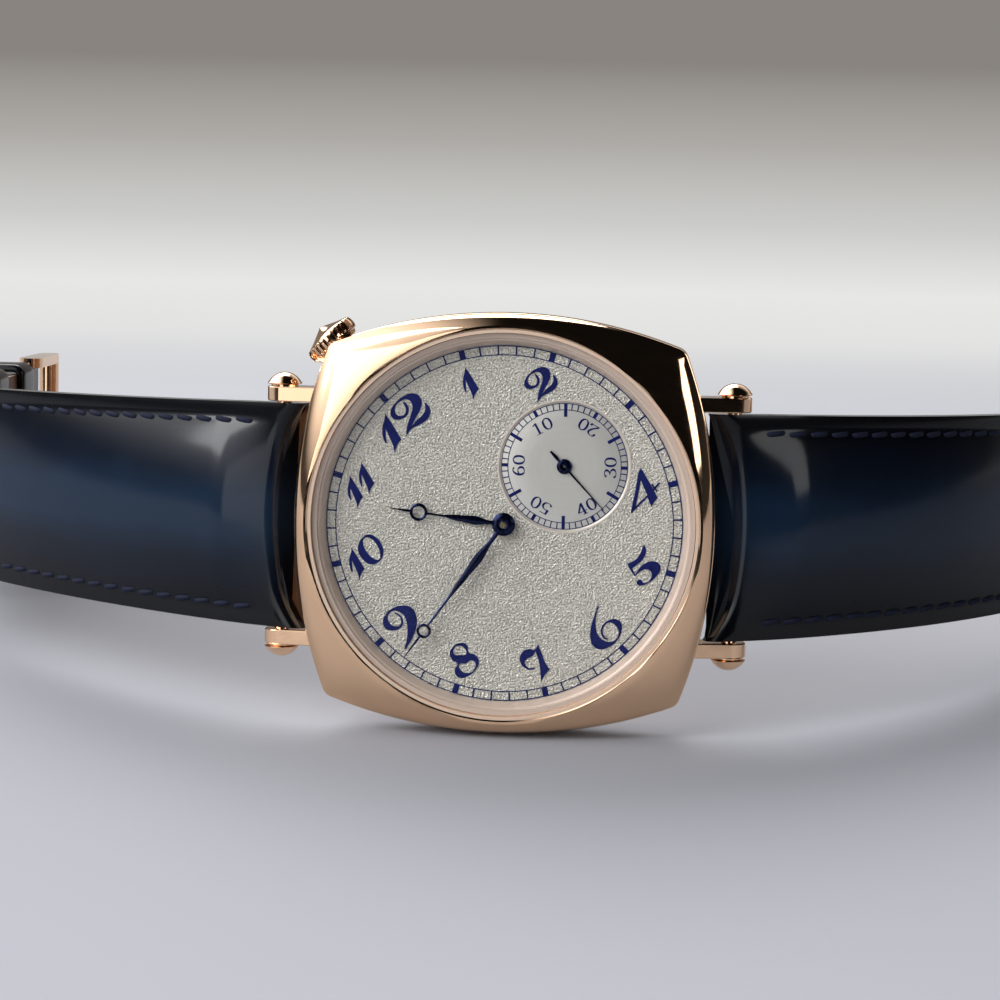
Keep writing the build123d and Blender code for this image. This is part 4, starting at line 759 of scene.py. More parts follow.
# The digits: outlines in hundredths of a millimetre about their middles, each after the first
# a hole. A third number, 0, marks a corner, and the other points lie on curves.
DIGITS = {
    "1": ((
        (77, 144, 0), (63, 60), (29, -92, 0), (-17, -99), (-84, -130, 0), (-56, -87), (-29, -17),
        (-3, 55, 0), (-41, 14), (-74, -31, 0), (-84, -26, 0), (-65, 21), (-14, 80), (43, 116),
    ),),
    "2": ((
        (-140, -104, 0), (-68, -46), (9, -5), (63, 34), (79, 72), (68, 106), (31, 126), (-17, 130),
        (-58, 109), (-72, 77), (-58, 43), (-24, 32), (9, 51), (22, 82), (27, 106, 0), (39, 108, 0),
        (43, 77), (27, 38), (-17, 12), (-68, 21), (-106, 48), (-116, 77), (-103, 111), (-60, 138),
        (9, 147), (94, 132), (147, 94), (159, 51), (142, 9), (91, -27), (17, -51), (-55, -77, 0),
        (9, -68), (77, -70), (126, -50), (150, -15, 0), (161, -21, 0), (154, -68), (120, -109),
        (68, -121), (9, -111), (-51, -92), (-94, -92),
    ),),
    "4": (
        (
            (115, 188, 0), (97, 111), (63, -27, 0), (70, -27, 0), (75, 7, 0), (91, 10, 0),
            (87, -26, 0), (147, -24, 0), (149, -41, 0), (84, -46, 0), (79, -75, 0), (63, -74, 0),
            (67, -48, 0), (58, -48, 0), (34, -121, 0), (-17, -130), (-68, -144, 0), (-32, -55, 0),
            (-248, -60, 0), (-236, -41, 0), (-68, 72), (77, 178),
        ),
        ((34, 106, 0), (-21, -38, 0), (-168, -38, 0)),
    ),
    "5": ((
        (-106, 120, 0), (-51, 97), (26, 99), (116, 140, 0), (133, 137, 0), (106, 89), (51, 56),
        (-34, 48), (-108, 56, 0), (-126, -9, 0), (-77, 7), (9, 7), (82, -31), (109, -85),
        (79, -137), (9, -156), (-77, -152), (-145, -130), (-176, -94), (-164, -67), (-130, -68),
        (-120, -92), (-126, -116), (-89, -138), (-34, -130), (0, -85), (-21, -38), (-72, -17),
        (-140, -17, 0), (-123, 85),
    ),),
    "6": ((
        (92, 193, 0), (9, 147), (-94, 89), (-174, 14), (-203, -55), (-179, -123), (-103, -166),
        (-9, -174), (85, -140), (142, -74), (133, -21), (85, 17), (26, 29), (-38, 12), (-72, -31),
        (-79, -74), (-65, -106, 0), (-53, -101, 0), (-62, -65), (-46, -21), (0, 9), (51, 9),
        (80, -21), (85, -72), (62, -128), (0, -157), (-60, -137), (-96, -77), (-96, -9), (-60, 60),
        (9, 128), (101, 185, 0),
    ),),
    "7": ((
        (145, 106, 0), (106, 17), (68, -77), (56, -147, 0), (-9, -154), (-82, -174, 0),
        (-34, -111), (26, -34), (77, 72, 0), (34, 58), (-34, 72), (-72, 65), (-85, 34), (-75, -9),
        (-39, -38, 0), (-44, -48, 0), (-92, -14), (-109, 34), (-106, 82), (-77, 128), (-17, 150),
        (43, 133), (82, 89),
    ),),
    "8": (
        (
            (9, 164), (85, 145), (118, 85), (80, 21), (109, -34), (94, -103), (17, -142),
            (-77, -137), (-150, -94), (-157, -43), (-120, 0), (-72, 17), (-85, 72), (-60, 137),
        ),
        ((0, 144), (51, 140), (80, 89), (51, 31), (0, 65), (-32, 106)),
        ((-68, 0), (-9, -34), (48, -51), (58, -94), (0, -132), (-60, -116), (-92, -51)),
    ),
    "9": ((
        (-123, -190, 0), (-133, -179, 0), (-43, -120), (34, -43), (80, 34), (80, 103), (43, 157),
        (-9, 166), (-51, 137), (-65, 85), (-48, 38), (-9, 14), (27, 34), (46, 82), (34, 133, 0),
        (44, 137, 0), (62, 89), (51, 34), (9, -5), (-51, 0), (-106, 38), (-130, 85), (-106, 144),
        (-43, 181), (34, 185), (128, 145), (188, 68), (174, -17), (94, -106), (-17, -159),
    ),),
    "0": (
        (
            (111, 142), (174, 125), (205, 51), (188, -48), (128, -115), (51, -128), (-14, -91),
            (-34, -17), (-9, 80), (51, 132),
        ),
        ((116, 128), (157, 94), (164, 17), (130, -77), (80, -115), (46, -68), (41, 0), (65, 85)),
    ),
}

# Each digit, the numeral's middle on the dial, and the digit's shift and scale in it, if any
NUMERALS = (
    ("1", (-9.55, 9.32), (-1.68, 0.26), 1.2),
    ("2", (-9.55, 9.32), (0.85, 0.29), 1.2),
    ("1", (-3.48, 13.20)),
    ("2", (3.17, 13.28)),
    ("4", (13.38, 3.54)),
    ("5", (13.41, -3.49)),
    ("6", (9.79, -9.55)),
    ("7", (3.23, -13.12)),
    ("8", (-3.51, -13.13)),
    ("9", (-9.58, -10.04)),
    ("1", (-13.21, -3.48), (-1.13, 0.03), 0.98),
    ("0", (-13.21, -3.48)),
    ("1", (-13.72, 3.31), (-0.89, -0.08), 0.98),
    ("1", (-13.72, 3.31), (0.80, 0.11), 0.98),
)


def drawn(digit):
    """The points and faces of a digit's solid."""
    curve = bpy.data.curves.new("digit", "CURVE")
    curve.resolution_u = 8
    for outline in in_whole(DIGITS[digit]):
        spline = curve.splines.new("BEZIER")
        spline.bezier_points.add(len(outline) - 1)
        spline.use_cyclic_u = True
        for point, (x, y, *corner) in zip(spline.bezier_points, outline):
            point.co = (x, y, 0)
            kind = "VECTOR" if corner else "AUTO"
            point.handle_left_type = kind
            point.handle_right_type = kind
    curve.dimensions = "2D"
    curve.fill_mode = "BOTH"
    curve.extrude = NUMERAL_HEIGHT / 2
    holder = add("drawing", curve)
    bpy.context.view_layer.update()
    seen = holder.evaluated_get(bpy.context.evaluated_depsgraph_get())
    mesh = bpy.data.meshes.new_from_object(seen)
    points = [tuple(vertex.co) for vertex in mesh.vertices]
    faces = [tuple(face.vertices) for face in mesh.polygons]
    bpy.data.objects.remove(holder)
    bpy.data.meshes.remove(mesh)
    return points, faces


def numerals():
    """The hour numerals, upright along the crown's bearing."""
    shape = Shape()
    middle = NUMERAL_HEIGHT / 2 + 0.003
    for digit, at, *fit in NUMERALS:
        shift, scale = fit or ((0, 0), 1.0)
        points, faces = drawn(digit)
        start = len(shape.points)
        for x, y, z in points:
            place = beside(at, CROWN_BEARING, shift[1] + y * scale, -shift[0] - x * scale)
            shape.points.append((*place, middle + z))
        shape.faces += [tuple(start + corner for corner in face) for face in faces]
    shape.file("hour_numerals", BLUE_PRINT, "watch_head", "dial", crease=40.0)


# The seconds figures are pen strokes: smooth lines through points, in hundredths of a box one
# unit high. A stroke is thick where it runs up the figure and thin across it.
FIGURES = {
    "1": (
        ((34, 0), (34, 100)),
        ((35, 98), (12, 84)),
        ((12, 2), (56, 2)),
    ),
    "2": (
        ((10, 72), (16, 92), (33, 99), (52, 90), (56, 72), (42, 44), (20, 20), (7, 4)),
        ((7, 5), (34, 7), (60, 5)),
        ((59, 3), (62, 22)),
    ),
    "3": (
        ((10, 80), (18, 95), (34, 99), (50, 90), (51, 72), (40, 58), (24, 53)),
        ((24, 53), (46, 47), (58, 28), (50, 8), (30, 1), (12, 7), (7, 22)),
    ),
    "4": (
        ((45, 0), (45, 100)),
        ((45, 97), (4, 30)),
        ((4, 29), (64, 29)),
        ((30, 2), (60, 2)),
    ),
    "5": (
        ((14, 97), (36, 95), (55, 98)),
        ((15, 97), (12, 55)),
        ((12, 55), (30, 62), (50, 53), (58, 31), (48, 8), (28, 1), (12, 6), (7, 18)),
    ),
    "6": ((
        (54, 88), (42, 99), (24, 90), (11, 62), (9, 32), (18, 7), (34, 1), (52, 10), (58, 31),
        (48, 52), (32, 57), (14, 44),
    ),),
    "0": ((
        (34, 99), (15, 84), (9, 50), (15, 16), (34, 1), (53, 16), (59, 50), (53, 84), (34, 99),
    ),),
}
FIGURE_HEIGHT = 1.12
FIGURE_WIDTH = 1.28
FIGURE_STEP = 0.72
FIGURE_REACH = 4.34
FIGURE_MIDDLE = 0.34
PEN_THICK = 0.072
PEN_THIN = 0.030


def smooth_line(points, steps=5):
    """Points of a smooth line through others."""
    if len(points) == 2:
        return points
    line = []
    ends = [points[0], *points, points[-1]]
    for around in zip(ends, ends[1:], ends[2:], ends[3:]):
        for step in range(steps):
            t = step / steps
            line.append([
                0.5 * (2 * b + (c - a) * t + (2 * a - 5 * b + 4 * c - d) * t**2
                       + (3 * b - a - 3 * c + d) * t**3)
                for a, b, c, d in zip(*around)
            ])
    return [*line, points[-1]]


def pen_stroke(shape, points, to_dial, low, high):
    line = smooth_line(points)
    rows = []
    for step, (x, y) in enumerate(line):
        before = line[max(step - 1, 0)]
        after = line[min(step + 1, len(line) - 1)]
        way = (after[0] - before[0], after[1] - before[1])
        length = hypot(*way)
        half = PEN_THIN + (PEN_THICK - PEN_THIN) * abs(way[1] / length) ** 1.6
        aside = (-way[1] / length * half, way[0] / length * half)
        left = to_dial(x + aside[0], y + aside[1])
        right = to_dial(x - aside[0], y - aside[1])
        rows.append([(*left, low), (*right, low), (*right, high), (*left, high)])
    shape.body(rows)


def seconds_numerals():
    """The tens of seconds round the small dial: the lower ones stand on their heads."""
    shape = Shape()
    low, high = -SUB_DEPTH + 0.013, -SUB_DEPTH + 0.034
    for tens in range(1, 7):
        bearing = 180 - 60 * tens
        centre = polar(FIGURE_REACH, bearing, SUB_AT)
        upward = bearing if tens in (1, 5, 6) else bearing + 180
        for place, figure in enumerate(f"{10 * tens}"):

            def to_dial(x, y):
                x = (x - FIGURE_MIDDLE + (place - 0.5) * FIGURE_STEP) * FIGURE_WIDTH
                return beside(centre, upward, (y - 0.5) * FIGURE_HEIGHT, -x * FIGURE_HEIGHT)

            for stroke in in_whole(FIGURES[figure]):
                pen_stroke(shape, stroke, to_dial, low, high)
    shape.file("seconds_figures", BLUE_PRINT, "watch_head", "dial")


minute_track()
seconds_dial()
numerals()
seconds_numerals()


# Hands, each of one blued piece with a ridge along its middle

def blade(shape, widths, crown, low, high, bearing, at=(0.0, 0.0), steps=8):
    """A blade along a bearing, its half width eased between (reach, half width) points."""
    places = []
    for (start, first), (end, last) in zip(widths, widths[1:]):
        for step in range(steps):
            share = step / steps
            ease = share * share * (3 - 2 * share)
            places.append((start + (end - start) * share, first + (last - first) * ease))
    edge = high - (high - low) * 0.35
    rows = []
    for reach, half in [*places, widths[-1]]:
        section = ((-half, low), (half, low), (half, edge), (half * 0.55, high),
                   (0.0, high + crown), (-half * 0.55, high), (-half, edge))
        rows.append([(*beside(at, bearing, reach, across), height) for across, height in section])
    shape.body(rows)


def ring(shape, at, outer, inner, low, high):
    """A small rounded ring."""
    profile = [
        (inner, low), (outer, low), (outer, high - 0.05), (outer - 0.06, high - 0.01),
        ((outer + inner) / 2, high + 0.012), (inner + 0.06, high - 0.01), (inner, high - 0.05),
    ]
    shape.turn(profile, at, 64)


def hub(shape, outer, inner, low, high, at=(0.0, 0.0)):
    """A round boss with a polished bevel and a bore."""
    profile = [
        (inner, low), (outer, low), (outer, high - 0.05), (outer - 0.05, high - 0.01),
        (outer - 0.22, high + 0.03), (inner + 0.06, high + 0.035), (inner, high + 0.02),
    ]
    shape.turn(profile, at, 72)


def hand(node, body, bearing, low, high, boss, bore, widths, ring_at, ring_size, point):
    """A hand with its boss, its swelling blade, its ring and its needle point."""
    shape = Shape()
    hub(shape, boss, bore, low, high)
    blade(shape, widths, 0.02, low, high - 0.012, bearing)
    ring(shape, polar(ring_at, bearing), *ring_size, low, high)
    needle = [(ring_at + ring_size[0] - 0.05, 0.12), (point, 0.045)]
    blade(shape, needle, 0.012, low, high - 0.012, bearing)
    shape.file(node + "_blued", BLUED, body, "blued_hands", [node], crease=28.0)


def seconds_hand():
    shape = Shape()
    low, high = 0.04, 0.15
    hub(shape, 0.72, 0.13, low, high - 0.03, SUB_AT)
    for bearing, widths in (
        (SECONDS_TURN, [(0.55, 0.09), (2.0, 0.08), (5.55, 0.04)]),
        (SECONDS_TURN + 180, [(0.55, 0.1), (1.2, 0.16), (1.95, 0.1)]),
    ):
        blade(shape, widths, 0.006, low, high - 0.02, bearing, SUB_AT)
    shape.file("seconds_hand_blued", BLUED, "seconds_work", "blued_hands", ["seconds_hand"],
               crease=28.0)


hand("hour_hand", "hours_work", HOUR_TURN, 0.33, 0.45, 1.1, 0.74,
     [(0.9, 0.2), (1.5, 0.2), (2.7, 0.42), (4.2, 0.3), (6.0, 0.1), (7.36, 0.1)],
     8.16, (0.85, 0.56), 10.85)
hand("minute_hand", "minutes_work", MINUTE_TURN, 0.76, 0.885, 0.98, 0.35,
     [(0.8, 0.2), (2.0, 0.21), (4.0, 0.43), (6.2, 0.29), (9.0, 0.13), (12.1, 0.12)],
     12.7, (0.7, 0.44), 15.95)
seconds_hand()


# Leather. A strap half leaves its bar at a lean, bends back twice and ends straight.

STRAP_LEAN = radians(22.0)


class Course:
    """The way of one strap half: its side, its bends (length, lean after it) and its length."""

    def __init__(self, side, bends, straight):
        self.side = side
        self.bends = bends
        self.bent = sum(length for length, lean in bends)
        self.length = self.bent + straight

    def place(self, along, across, above):
        """The bench point at a length along the strap, across it and over its middle line."""
        lean = STRAP_LEAN
        out, down = min(along, 0) * cos(lean), min(along, 0) * sin(lean)
        along = max(along, 0)
        for length, angle in self.bends:
            rate = (radians(angle) - lean) / length
            here = lean + rate * min(along, length)
            out += (sin(here) - sin(lean)) / rate
            down += (cos(lean) - cos(here)) / rate
            lean = here
            along = max(along - length, 0)
        out += along * cos(lean)
        down += along * sin(lean)
        middle = Vector((self.side * (BAR_REACH + out), 0, BAR_HEIGHT - down))
        point = middle + Vector((self.side * sin(lean), 0, cos(lean))) * above
        return (point.x, across, point.z)


SHORT = Course(-1, ((40.0, 44.0), (14.0, 90.0)), 26.0)
LONG = Course(1, ((42.0, 60.0), (12.0, 64.0)), 57.25)
PAD_CROWN = 1.7
PAD_EDGE = 2.6
PAD_RISE = 6.0
PAD_SHARE = 0.86
RIM_DROP = 0.22
RIM_START = 0.93
RIM_SPAN = 0.07
EAR_REACH = 1.35
EAR_START = 6.5
EAR_SPAN = 4.35
BAR_GAP = 1.12
LINING_DEPTH = 0.5
LINING_INSET = 0.06
TIP = 12.0
TIP_SHOULDER = 1.5
TIP_SIDE_RADIUS = 17.0
TIP_END_RADIUS = 10.5
BUCKLE_LOOP = 1.3
HOLE_RADIUS = 0.8
HOLE_PITCH = 6.5
LAST_HOLE = 26.0
EASE_IN = 0.9
END_BLEND = 4.0
ACROSS_SHARES = (
    -1.0, -0.985, -0.95, -0.9, -0.86, -0.82, -0.76, -0.68, -0.58, -0.46, -0.34, -0.22, -0.11, 0.0,
    0.11, 0.22, 0.34, 0.46, 0.58, 0.68, 0.76, 0.82, 0.86, 0.9, 0.95, 0.985, 1.0,
)


def bend_left(course, along):
    """One at the bar, falling to zero where the bends end."""
    return 1 - min(max(along, 0) / course.bent, 1)


def half_width(course, along):
    return (STRAP_END_WIDTH + (STRAP_WIDTH - STRAP_END_WIDTH) * bend_left(course, along)) / 2


def top_height(course, along, across):
    """How high the leather's face stands over the strap's middle."""
    pad = min(max(along, 0) / PAD_RISE, 1) * bend_left(course, along)
    edge = STRAP_EDGE + (PAD_EDGE - STRAP_EDGE) * pad
    share = min(abs(across) / half_width(course, along), 1)
    dome = max(1 - (share / PAD_SHARE) ** 2, 0) ** 0.9
    rim = RIM_DROP * max(share - RIM_START, 0) / RIM_SPAN
    return edge / 2 + PAD_CROWN * pad * dome - rim * rim


def start_of(across):
    """Where the leather begins: it follows the bowed bar, with ears beside the case."""
    bow = BAR_BOW * (1 - across * across / (LUG_GAP / 2) ** 2)
    ear = EAR_REACH * max(abs(across) - EAR_START, 0) ** 2 / EAR_SPAN**2
    return bow - BAR_GAP - ear


def tip_reach(across):
    """How far past the tip's start the leather reaches at a distance from its middle."""
    half = STRAP_END_WIDTH / 2
    aside = min(abs(across), half)
    side = sqrt(max(TIP_SIDE_RADIUS**2 - (aside + TIP_SIDE_RADIUS - half) ** 2, 0.0))
    return min(side, TIP_SHOULDER + sqrt(TIP_END_RADIUS**2 - aside * aside))


def strap_along(course, stop, across):
    """Where a section's point lies along the strap: the ends follow the bar and the tip."""
    if stop < END_BLEND:
        begin = start_of(across)
        return begin + (END_BLEND - begin) * stop / END_BLEND
    base = course.length - TIP
    if course.side > 0 and stop > base:
        return base + (stop - base) / TIP * tip_reach(across)
    return stop


def eased_start(stop):
    return max(1 - stop / EASE_IN, 0) ** 2


def round_bar(course, stop, height):
    """A height over the middle, or round the buckle bar where the short half wraps it."""
    if course.side > 0 or stop <= course.length - BUCKLE_LOOP:
        return height
    loop = sqrt(max(BUCKLE_LOOP**2 - (stop - course.length) ** 2, 0.0))
    return max(loop, height) if stop < course.length else loop


def strap_top(course, stop, along, across):
    height = top_height(course, along, across) - 0.75 * eased_start(stop)
    height = round_bar(course, stop, height)
    if course.side > 0:
        height -= 0.25 * max(stop - course.length + 0.5, 0) / 0.5
    return height


def strap_under(course, stop, along, across):
    return -round_bar(course, stop, STRAP_EDGE / 2 - 0.35 * eased_start(stop))


def strap_seam(course, stop, along, across):
    """The face between the leather and its lining."""
    low = strap_under(course, stop, along, across) + 0.02
    high = strap_top(course, stop, along, across) - 0.02
    return min(max(LINING_DEPTH - STRAP_EDGE / 2, low), high)


def strap_stops(last):
    """Places of the sections along a strap half, close together at its ends."""
    stops = [0, 0.2, 0.45, 0.9, 1.4, 2.0, 2.8, 4.0]
    while stops[-1] < last - 3.6:
        stops.append(stops[-1] + 1.0)
    ends = [last - back for back in (2.4, 1.6, 1.0, 0.6, 0.3, 0.12, 0.02, 0.0)]
    return stops + [end for end in ends if end > stops[-1] + 0.3]


def strap_solid(course, upper, lower, last, inset):
    """A closed body between two faces of the strap."""
    rows = []
    for stop in strap_stops(last):
        face, back = [], []
        for share in ACROSS_SHARES:
            across = share * (half_width(course, min(stop, course.length)) - inset)
            along = strap_along(course, stop, across)
            face.append(course.place(along, across, upper(course, stop, along, across)))
            back.append(course.place(along, across, lower(course, stop, along, across)))
        rows.append(face + back[::-1])
    shape = Shape()
    shape.body(rows)
    return shape


def punched(shape, cutters):
    """The mesh of a shape with others cut out of it exactly."""
    parts = [add("punching", one.mesh()) for one in (shape, *cutters)]
    for cutter in parts[1:]:
        cut = parts[0].modifiers.new("punch", "BOOLEAN")
        cut.operation = "DIFFERENCE"
        cut.solver = "EXACT"
        cut.object = cutter
    bpy.context.view_layer.update()
    seen = parts[0].evaluated_get(bpy.context.evaluated_depsgraph_get())
    mesh = bpy.data.meshes.new_from_object(seen)
    for part in parts:
        bpy.data.objects.remove(part)
    return mesh


def cutter(course, outline):
    """A prism through the strap, from an outline of (along, across) places."""
    shape = Shape()
    shape.body([
        [course.place(along, across, above) for along, across in outline] for above in (-3.0, 3.0)
    ])
    return shape


HOLES = [
    cutter(LONG, [polar(HOLE_RADIUS, 15 * step, (LONG.length - LAST_HOLE - HOLE_PITCH * count, 0.0))
                  for step in range(24)])
    for count in range(7)
]
TANG_SLOT = [cutter(SHORT, [
    (SHORT.length + along, across) for along, across in
    ((-3.4, -1.5), (-4.0, -0.9), (-4.0, 0.9), (-3.4, 1.5), (2.3, 1.5), (2.3, -1.5))
])]


def stitch(shape, course, start, end):
    """One stitch between two (along, across) places, sunk at both ends."""
    way = (end[0] - start[0], end[1] - start[1])
    length = hypot(*way)
    side = (-way[1] / length, way[0] / length)
    rows = []
    for share, radius, lift in (
        (-0.06, 0.07, -0.20), (0.03, 0.20, -0.06), (0.16, 0.25, 0.05), (0.5, 0.27, 0.10),
        (0.84, 0.25, 0.05), (0.97, 0.20, -0.06), (1.06, 0.07, -0.20),
    ):
        along, across = start[0] + way[0] * share, start[1] + way[1] * share
        height = top_height(course, along, across) + lift
        rows.append([
            course.place(along + side[0] * x, across + side[1] * x, height + 0.8 * y)
            for x, y in (polar(radius, 45 * step) for step in range(8))
        ])
    shape.body(rows)


STITCH_PITCH = 2.26
STITCH_LENGTH = 1.85
STITCH_INSET = 1.75


def sew(shape, course, path, slant):
    """Stitches at an even pitch along a path of (along, across) places."""
    lengths = [0.0]
    for start, end in zip(path, path[1:]):
        lengths.append(lengths[-1] + hypot(end[0] - start[0], end[1] - start[1]))

    def spot(reach):
        index = max(i for i in range(len(path) - 1) if lengths[i] <= reach)
        share = (reach - lengths[index]) / (lengths[index + 1] - lengths[index])
        start, end = path[index], path[index + 1]
        return (start[0] + (end[0] - start[0]) * share, start[1] + (end[1] - start[1]) * share)

    count = int(lengths[-1] / STITCH_PITCH)
    pitch = lengths[-1] / count
    for number in range(count):
        near = spot(pitch * number + (pitch - STITCH_LENGTH) / 2)
        far = spot(pitch * number + (pitch + STITCH_LENGTH) / 2)
        turn = slant / STITCH_LENGTH
        x, y = (far[1] - near[1]) * turn, (near[0] - far[0]) * turn
        stitch(shape, course, (near[0] + x, near[1] + y), (far[0] - x, far[1] - y))


def edge_path(course, last, side):
    """Places along one edge of a strap half, drawn in from it."""
    first = 2.6
    steps = max(int((last - first) / 6.0), 2)
    alongs = [first + (last - first) * step / steps for step in range(steps + 1)]
    return [(along, side * (half_width(course, along) - STITCH_INSET)) for along in alongs]


def tip_path():
    """Places round the long half's tip, drawn in from its edge."""
    acrosses = [STRAP_END_WIDTH / 2 * (1 - step / 20) for step in range(41)]
    edge = [(LONG.length - TIP + tip_reach(across), across) for across in acrosses]
    limit = STRAP_END_WIDTH / 2 - STITCH_INSET - 0.3
    places = []
    for before, here, after in zip(edge, edge[1:], edge[2:]):
        way = (after[0] - before[0], after[1] - before[1])
        inset = STITCH_INSET / hypot(*way)
        place = (here[0] + way[1] * inset, here[1] - way[0] * inset)
        if abs(place[1]) < limit:
            places.append(place)
    return places


def strap_half(course, name, lined, cutters, lining_cutters):
    """One strap half: its leather, and its lining up to a length, both punched."""
    half, body = "strap_" + name, name + "_strap"
    far = course.length + (BUCKLE_LOOP if course.side < 0 else 0.0)
    mesh = punched(strap_solid(course, strap_top, strap_seam, far, 0.0), cutters)
    piece = file_mesh(mesh, half + "_leather", LEATHER, body, "leather", [half + "_half"], 38.0)
    mesh = punched(strap_solid(course, strap_seam, strap_under, lined, LINING_INSET),
                   lining_cutters)
    file_mesh(mesh, half + "_lining", LINING, body, "leather", crease=38.0)


def seams(course, name, *paths):
    """The stitches of one strap half, along paths that each have a slant."""
    shape = Shape()
    for path, slant in paths:
        sew(shape, course, path, slant)
    shape.file(f"strap_{name}_stitches", THREAD, name + "_strap", "leather", crease=50.0)


def straps():
    lining_gap, edge_gap, cross_gap = 4.4, 5.6, 5.9
    strap_half(SHORT, "short", SHORT.length - lining_gap, TANG_SLOT, [])
    strap_half(LONG, "long", LONG.length, HOLES, HOLES)
    edges = [(edge_path(SHORT, SHORT.length - edge_gap, side), 0.13 * side) for side in (-1, 1)]
    inner = STRAP_END_WIDTH / 2 - STITCH_INSET
    across = [(SHORT.length - cross_gap, side * inner) for side in (-1, 1)]
    seams(SHORT, "short", *edges, (across, 0.0))
    last = LONG.length - TIP - 0.5
    path = edge_path(LONG, last, 1) + tip_path() + edge_path(LONG, last, -1)[::-1]
    seams(LONG, "long", (path, 0.1))


def rounded_rectangle(half_x, half_y, corner, middle):
    points = []
    for x_side, y_side, start in ((1, 1, 0), (-1, 1, 90), (-1, -1, 180), (1, -1, 270)):
        centre = (x_side * (half_x - corner), middle + y_side * (half_y - corner))
        points += arc(centre, corner, start, start + 90, 6)
    return points


def keeper(name, node, body, from_end, play):
    """A leather loop: doubled, rounded over at its edges and lightly crowned."""
    length, thickness = 5.0, 0.9
    inner_x, inner_y = STRAP_END_WIDTH / 2 + 0.25, 2.35
    middle = inner_y - STRAP_EDGE / 2 - play
    start = SHORT.length - from_end - length / 2

    def row(along, x, y, corner):
        outline = rounded_rectangle(x, y, corner, middle)
        return [SHORT.place(start + along, across, above) for across, above in outline]

    rows = [
        row(along, inner_x + thickness - inset, inner_y + thickness - inset, 1.3 - inset)
        for along, inset in (
            (0.0, 0.34), (0.08, 0.16), (0.3, 0.04), (0.9, 0.0), (2.5, 0.0), (4.1, 0.0),
            (4.7, 0.04), (4.92, 0.16), (5.0, 0.34),
        )
    ] + [
        row(along, inner_x + outset, inner_y + outset, 0.5 + outset)
        for along, outset in (
            (5.0, 0.22), (4.85, 0.05), (4.6, 0.0), (0.4, 0.0), (0.15, 0.05), (0.0, 0.22),
        )
    ]
    shape = Shape()
    shape.rows(rows, closed=True)
    shape.file(name, LEATHER, body, "leather", [node], crease=40.0)


straps()
keeper("keeper_fixed", "fixed_keeper", "short_strap", 9.5, 0.02)
keeper("keeper_free", "free_keeper", "sliding_loop", 21.5, 0.06)


# The pieces that keep their solid shape: softer edges on the buckle, and a plain material each

for name, width, segments in (
    ("buckle_frame", 0.28, 3), ("buckle_tang", 0.22, 3), ("buckle_bar", 0.12, 2),
):
    rounding = nodes[name].modifiers.new("edge_rounding", "BEVEL")
    rounding.width = width * MM
    rounding.segments = segments
    rounding.limit_method = "ANGLE"
    rounding.angle_limit = radians(32.0)
    rounding.harden_normals = True

for material, names in (
    (FROSTED, "dial"),
    (GASKET, "crystal_gasket back_gasket"),
    (GOLD_SATIN, "case_back"),
    (BACK_GLASS, "back_glass"),
    (GOLD, "crown_tube strap_bar_short_side strap_bar_long_side buckle_bar buckle_frame"
           " buckle_tang"),
    (PEARLED, "mainplate"),
    (NICKEL, "barrel_bridge train_bridge balance_cock pallet_bridge"),
    (SCREW_BLUE, "bridge_screws hairspring"),
    (RUBY, "jewels pallet_stones"),
    (BRASS, "fourth_wheel third_wheel centre_wheel minute_wheel hour_wheel balance_wheel"
            " barrel_drum barrel_cover"),
    (SUNRAY_STEEL, "ratchet_wheel crown_wheel"),
    (STEEL, "movement_holder crown_wheel_screw click_screw cannon_pinion escape_wheel pallet_fork"
            " mainspring barrel_arbor ratchet_screw click sliding_pinion winding_pinion"
            " winding_stem"),
):
    for name in names.split():
        mesh = nodes[name].data
        mesh.materials.clear()
        mesh.materials.append(material)


# Floor, backdrop, light and camera

def stage_paint():
    """A pale lavender table with painted shade before the watch and a glowing haze of painted light
    far behind.
    """
    paint = Paint("studio_grey", (0.40, 0.40, 0.43), 0.8)
    depth = paint.parts(paint.place((1.0, 1.0, 1.0)))["Y"]
    # Painted shade: the table is darkest just in front of and under the watch, lighter towards the
    # camera and behind.
    paint.tint(paint.span(depth, 0.0, 1.0, -0.20, 0.2), (0.0, (0.31, 0.312, 0.335)),
               (0.45, (0.26, 0.262, 0.283)), (1.0, (0.36, 0.36, 0.375)))
    # Painted light: far behind the watch the table glows for camera, gloss and transmission rays,
    # brightest in a band near the horizon and darker above.
    haze = paint.node("Emission", paint.ramp(
        paint.span(depth, 0.0, 1.0, 0.12, 0.62),
        (0.0, (0.60, 0.60, 0.60)), (0.08, (0.76, 0.76, 0.75)), (0.18, (0.80, 0.80, 0.785)),
        (0.34, (0.60, 0.60, 0.585)), (0.60, (0.42, 0.405, 0.385)), (1.0, (0.25, 0.23, 0.215)),
    ))
    path = paint.node("LightPath").outputs
    seen = path["Is Camera Ray"]
    for name in ("Is Glossy Ray", "Is Transmission Ray"):
        seen = paint.math("MAXIMUM", seen, path[name])
    far = paint.math("MULTIPLY", seen, paint.span(depth, 0.0, 1.0, 0.11, 0.17))
    mix = paint.node("MixShader", far, paint.shader.outputs["BSDF"], haze.outputs["Emission"])
    paint.feed(paint.tree.nodes["Material Output"].inputs["Surface"], mix.outputs["Shader"])
    return paint.material


def studio():
    """A pale table that curves up behind the watch."""
    width, front, bend, radius, top = 3.0, -1.2, 0.60, 0.3, 0.42
    path = [(front, 0.0), *arc((bend, radius), radius, -90, 0, 24), (bend + radius, top)]
    points = [(side * width, y, z) for y, z in path for side in (-1, 1)]
    faces = [(2 * i, 2 * i + 1, 2 * i + 3, 2 * i + 2) for i in range(len(path) - 1)]
    mesh = bpy.data.meshes.new("studio_sweep")
    mesh.from_pydata(points, [], faces)
    mesh.shade_smooth()
    mesh.materials.append(stage_paint())
    sweep = add("studio_sweep", mesh)


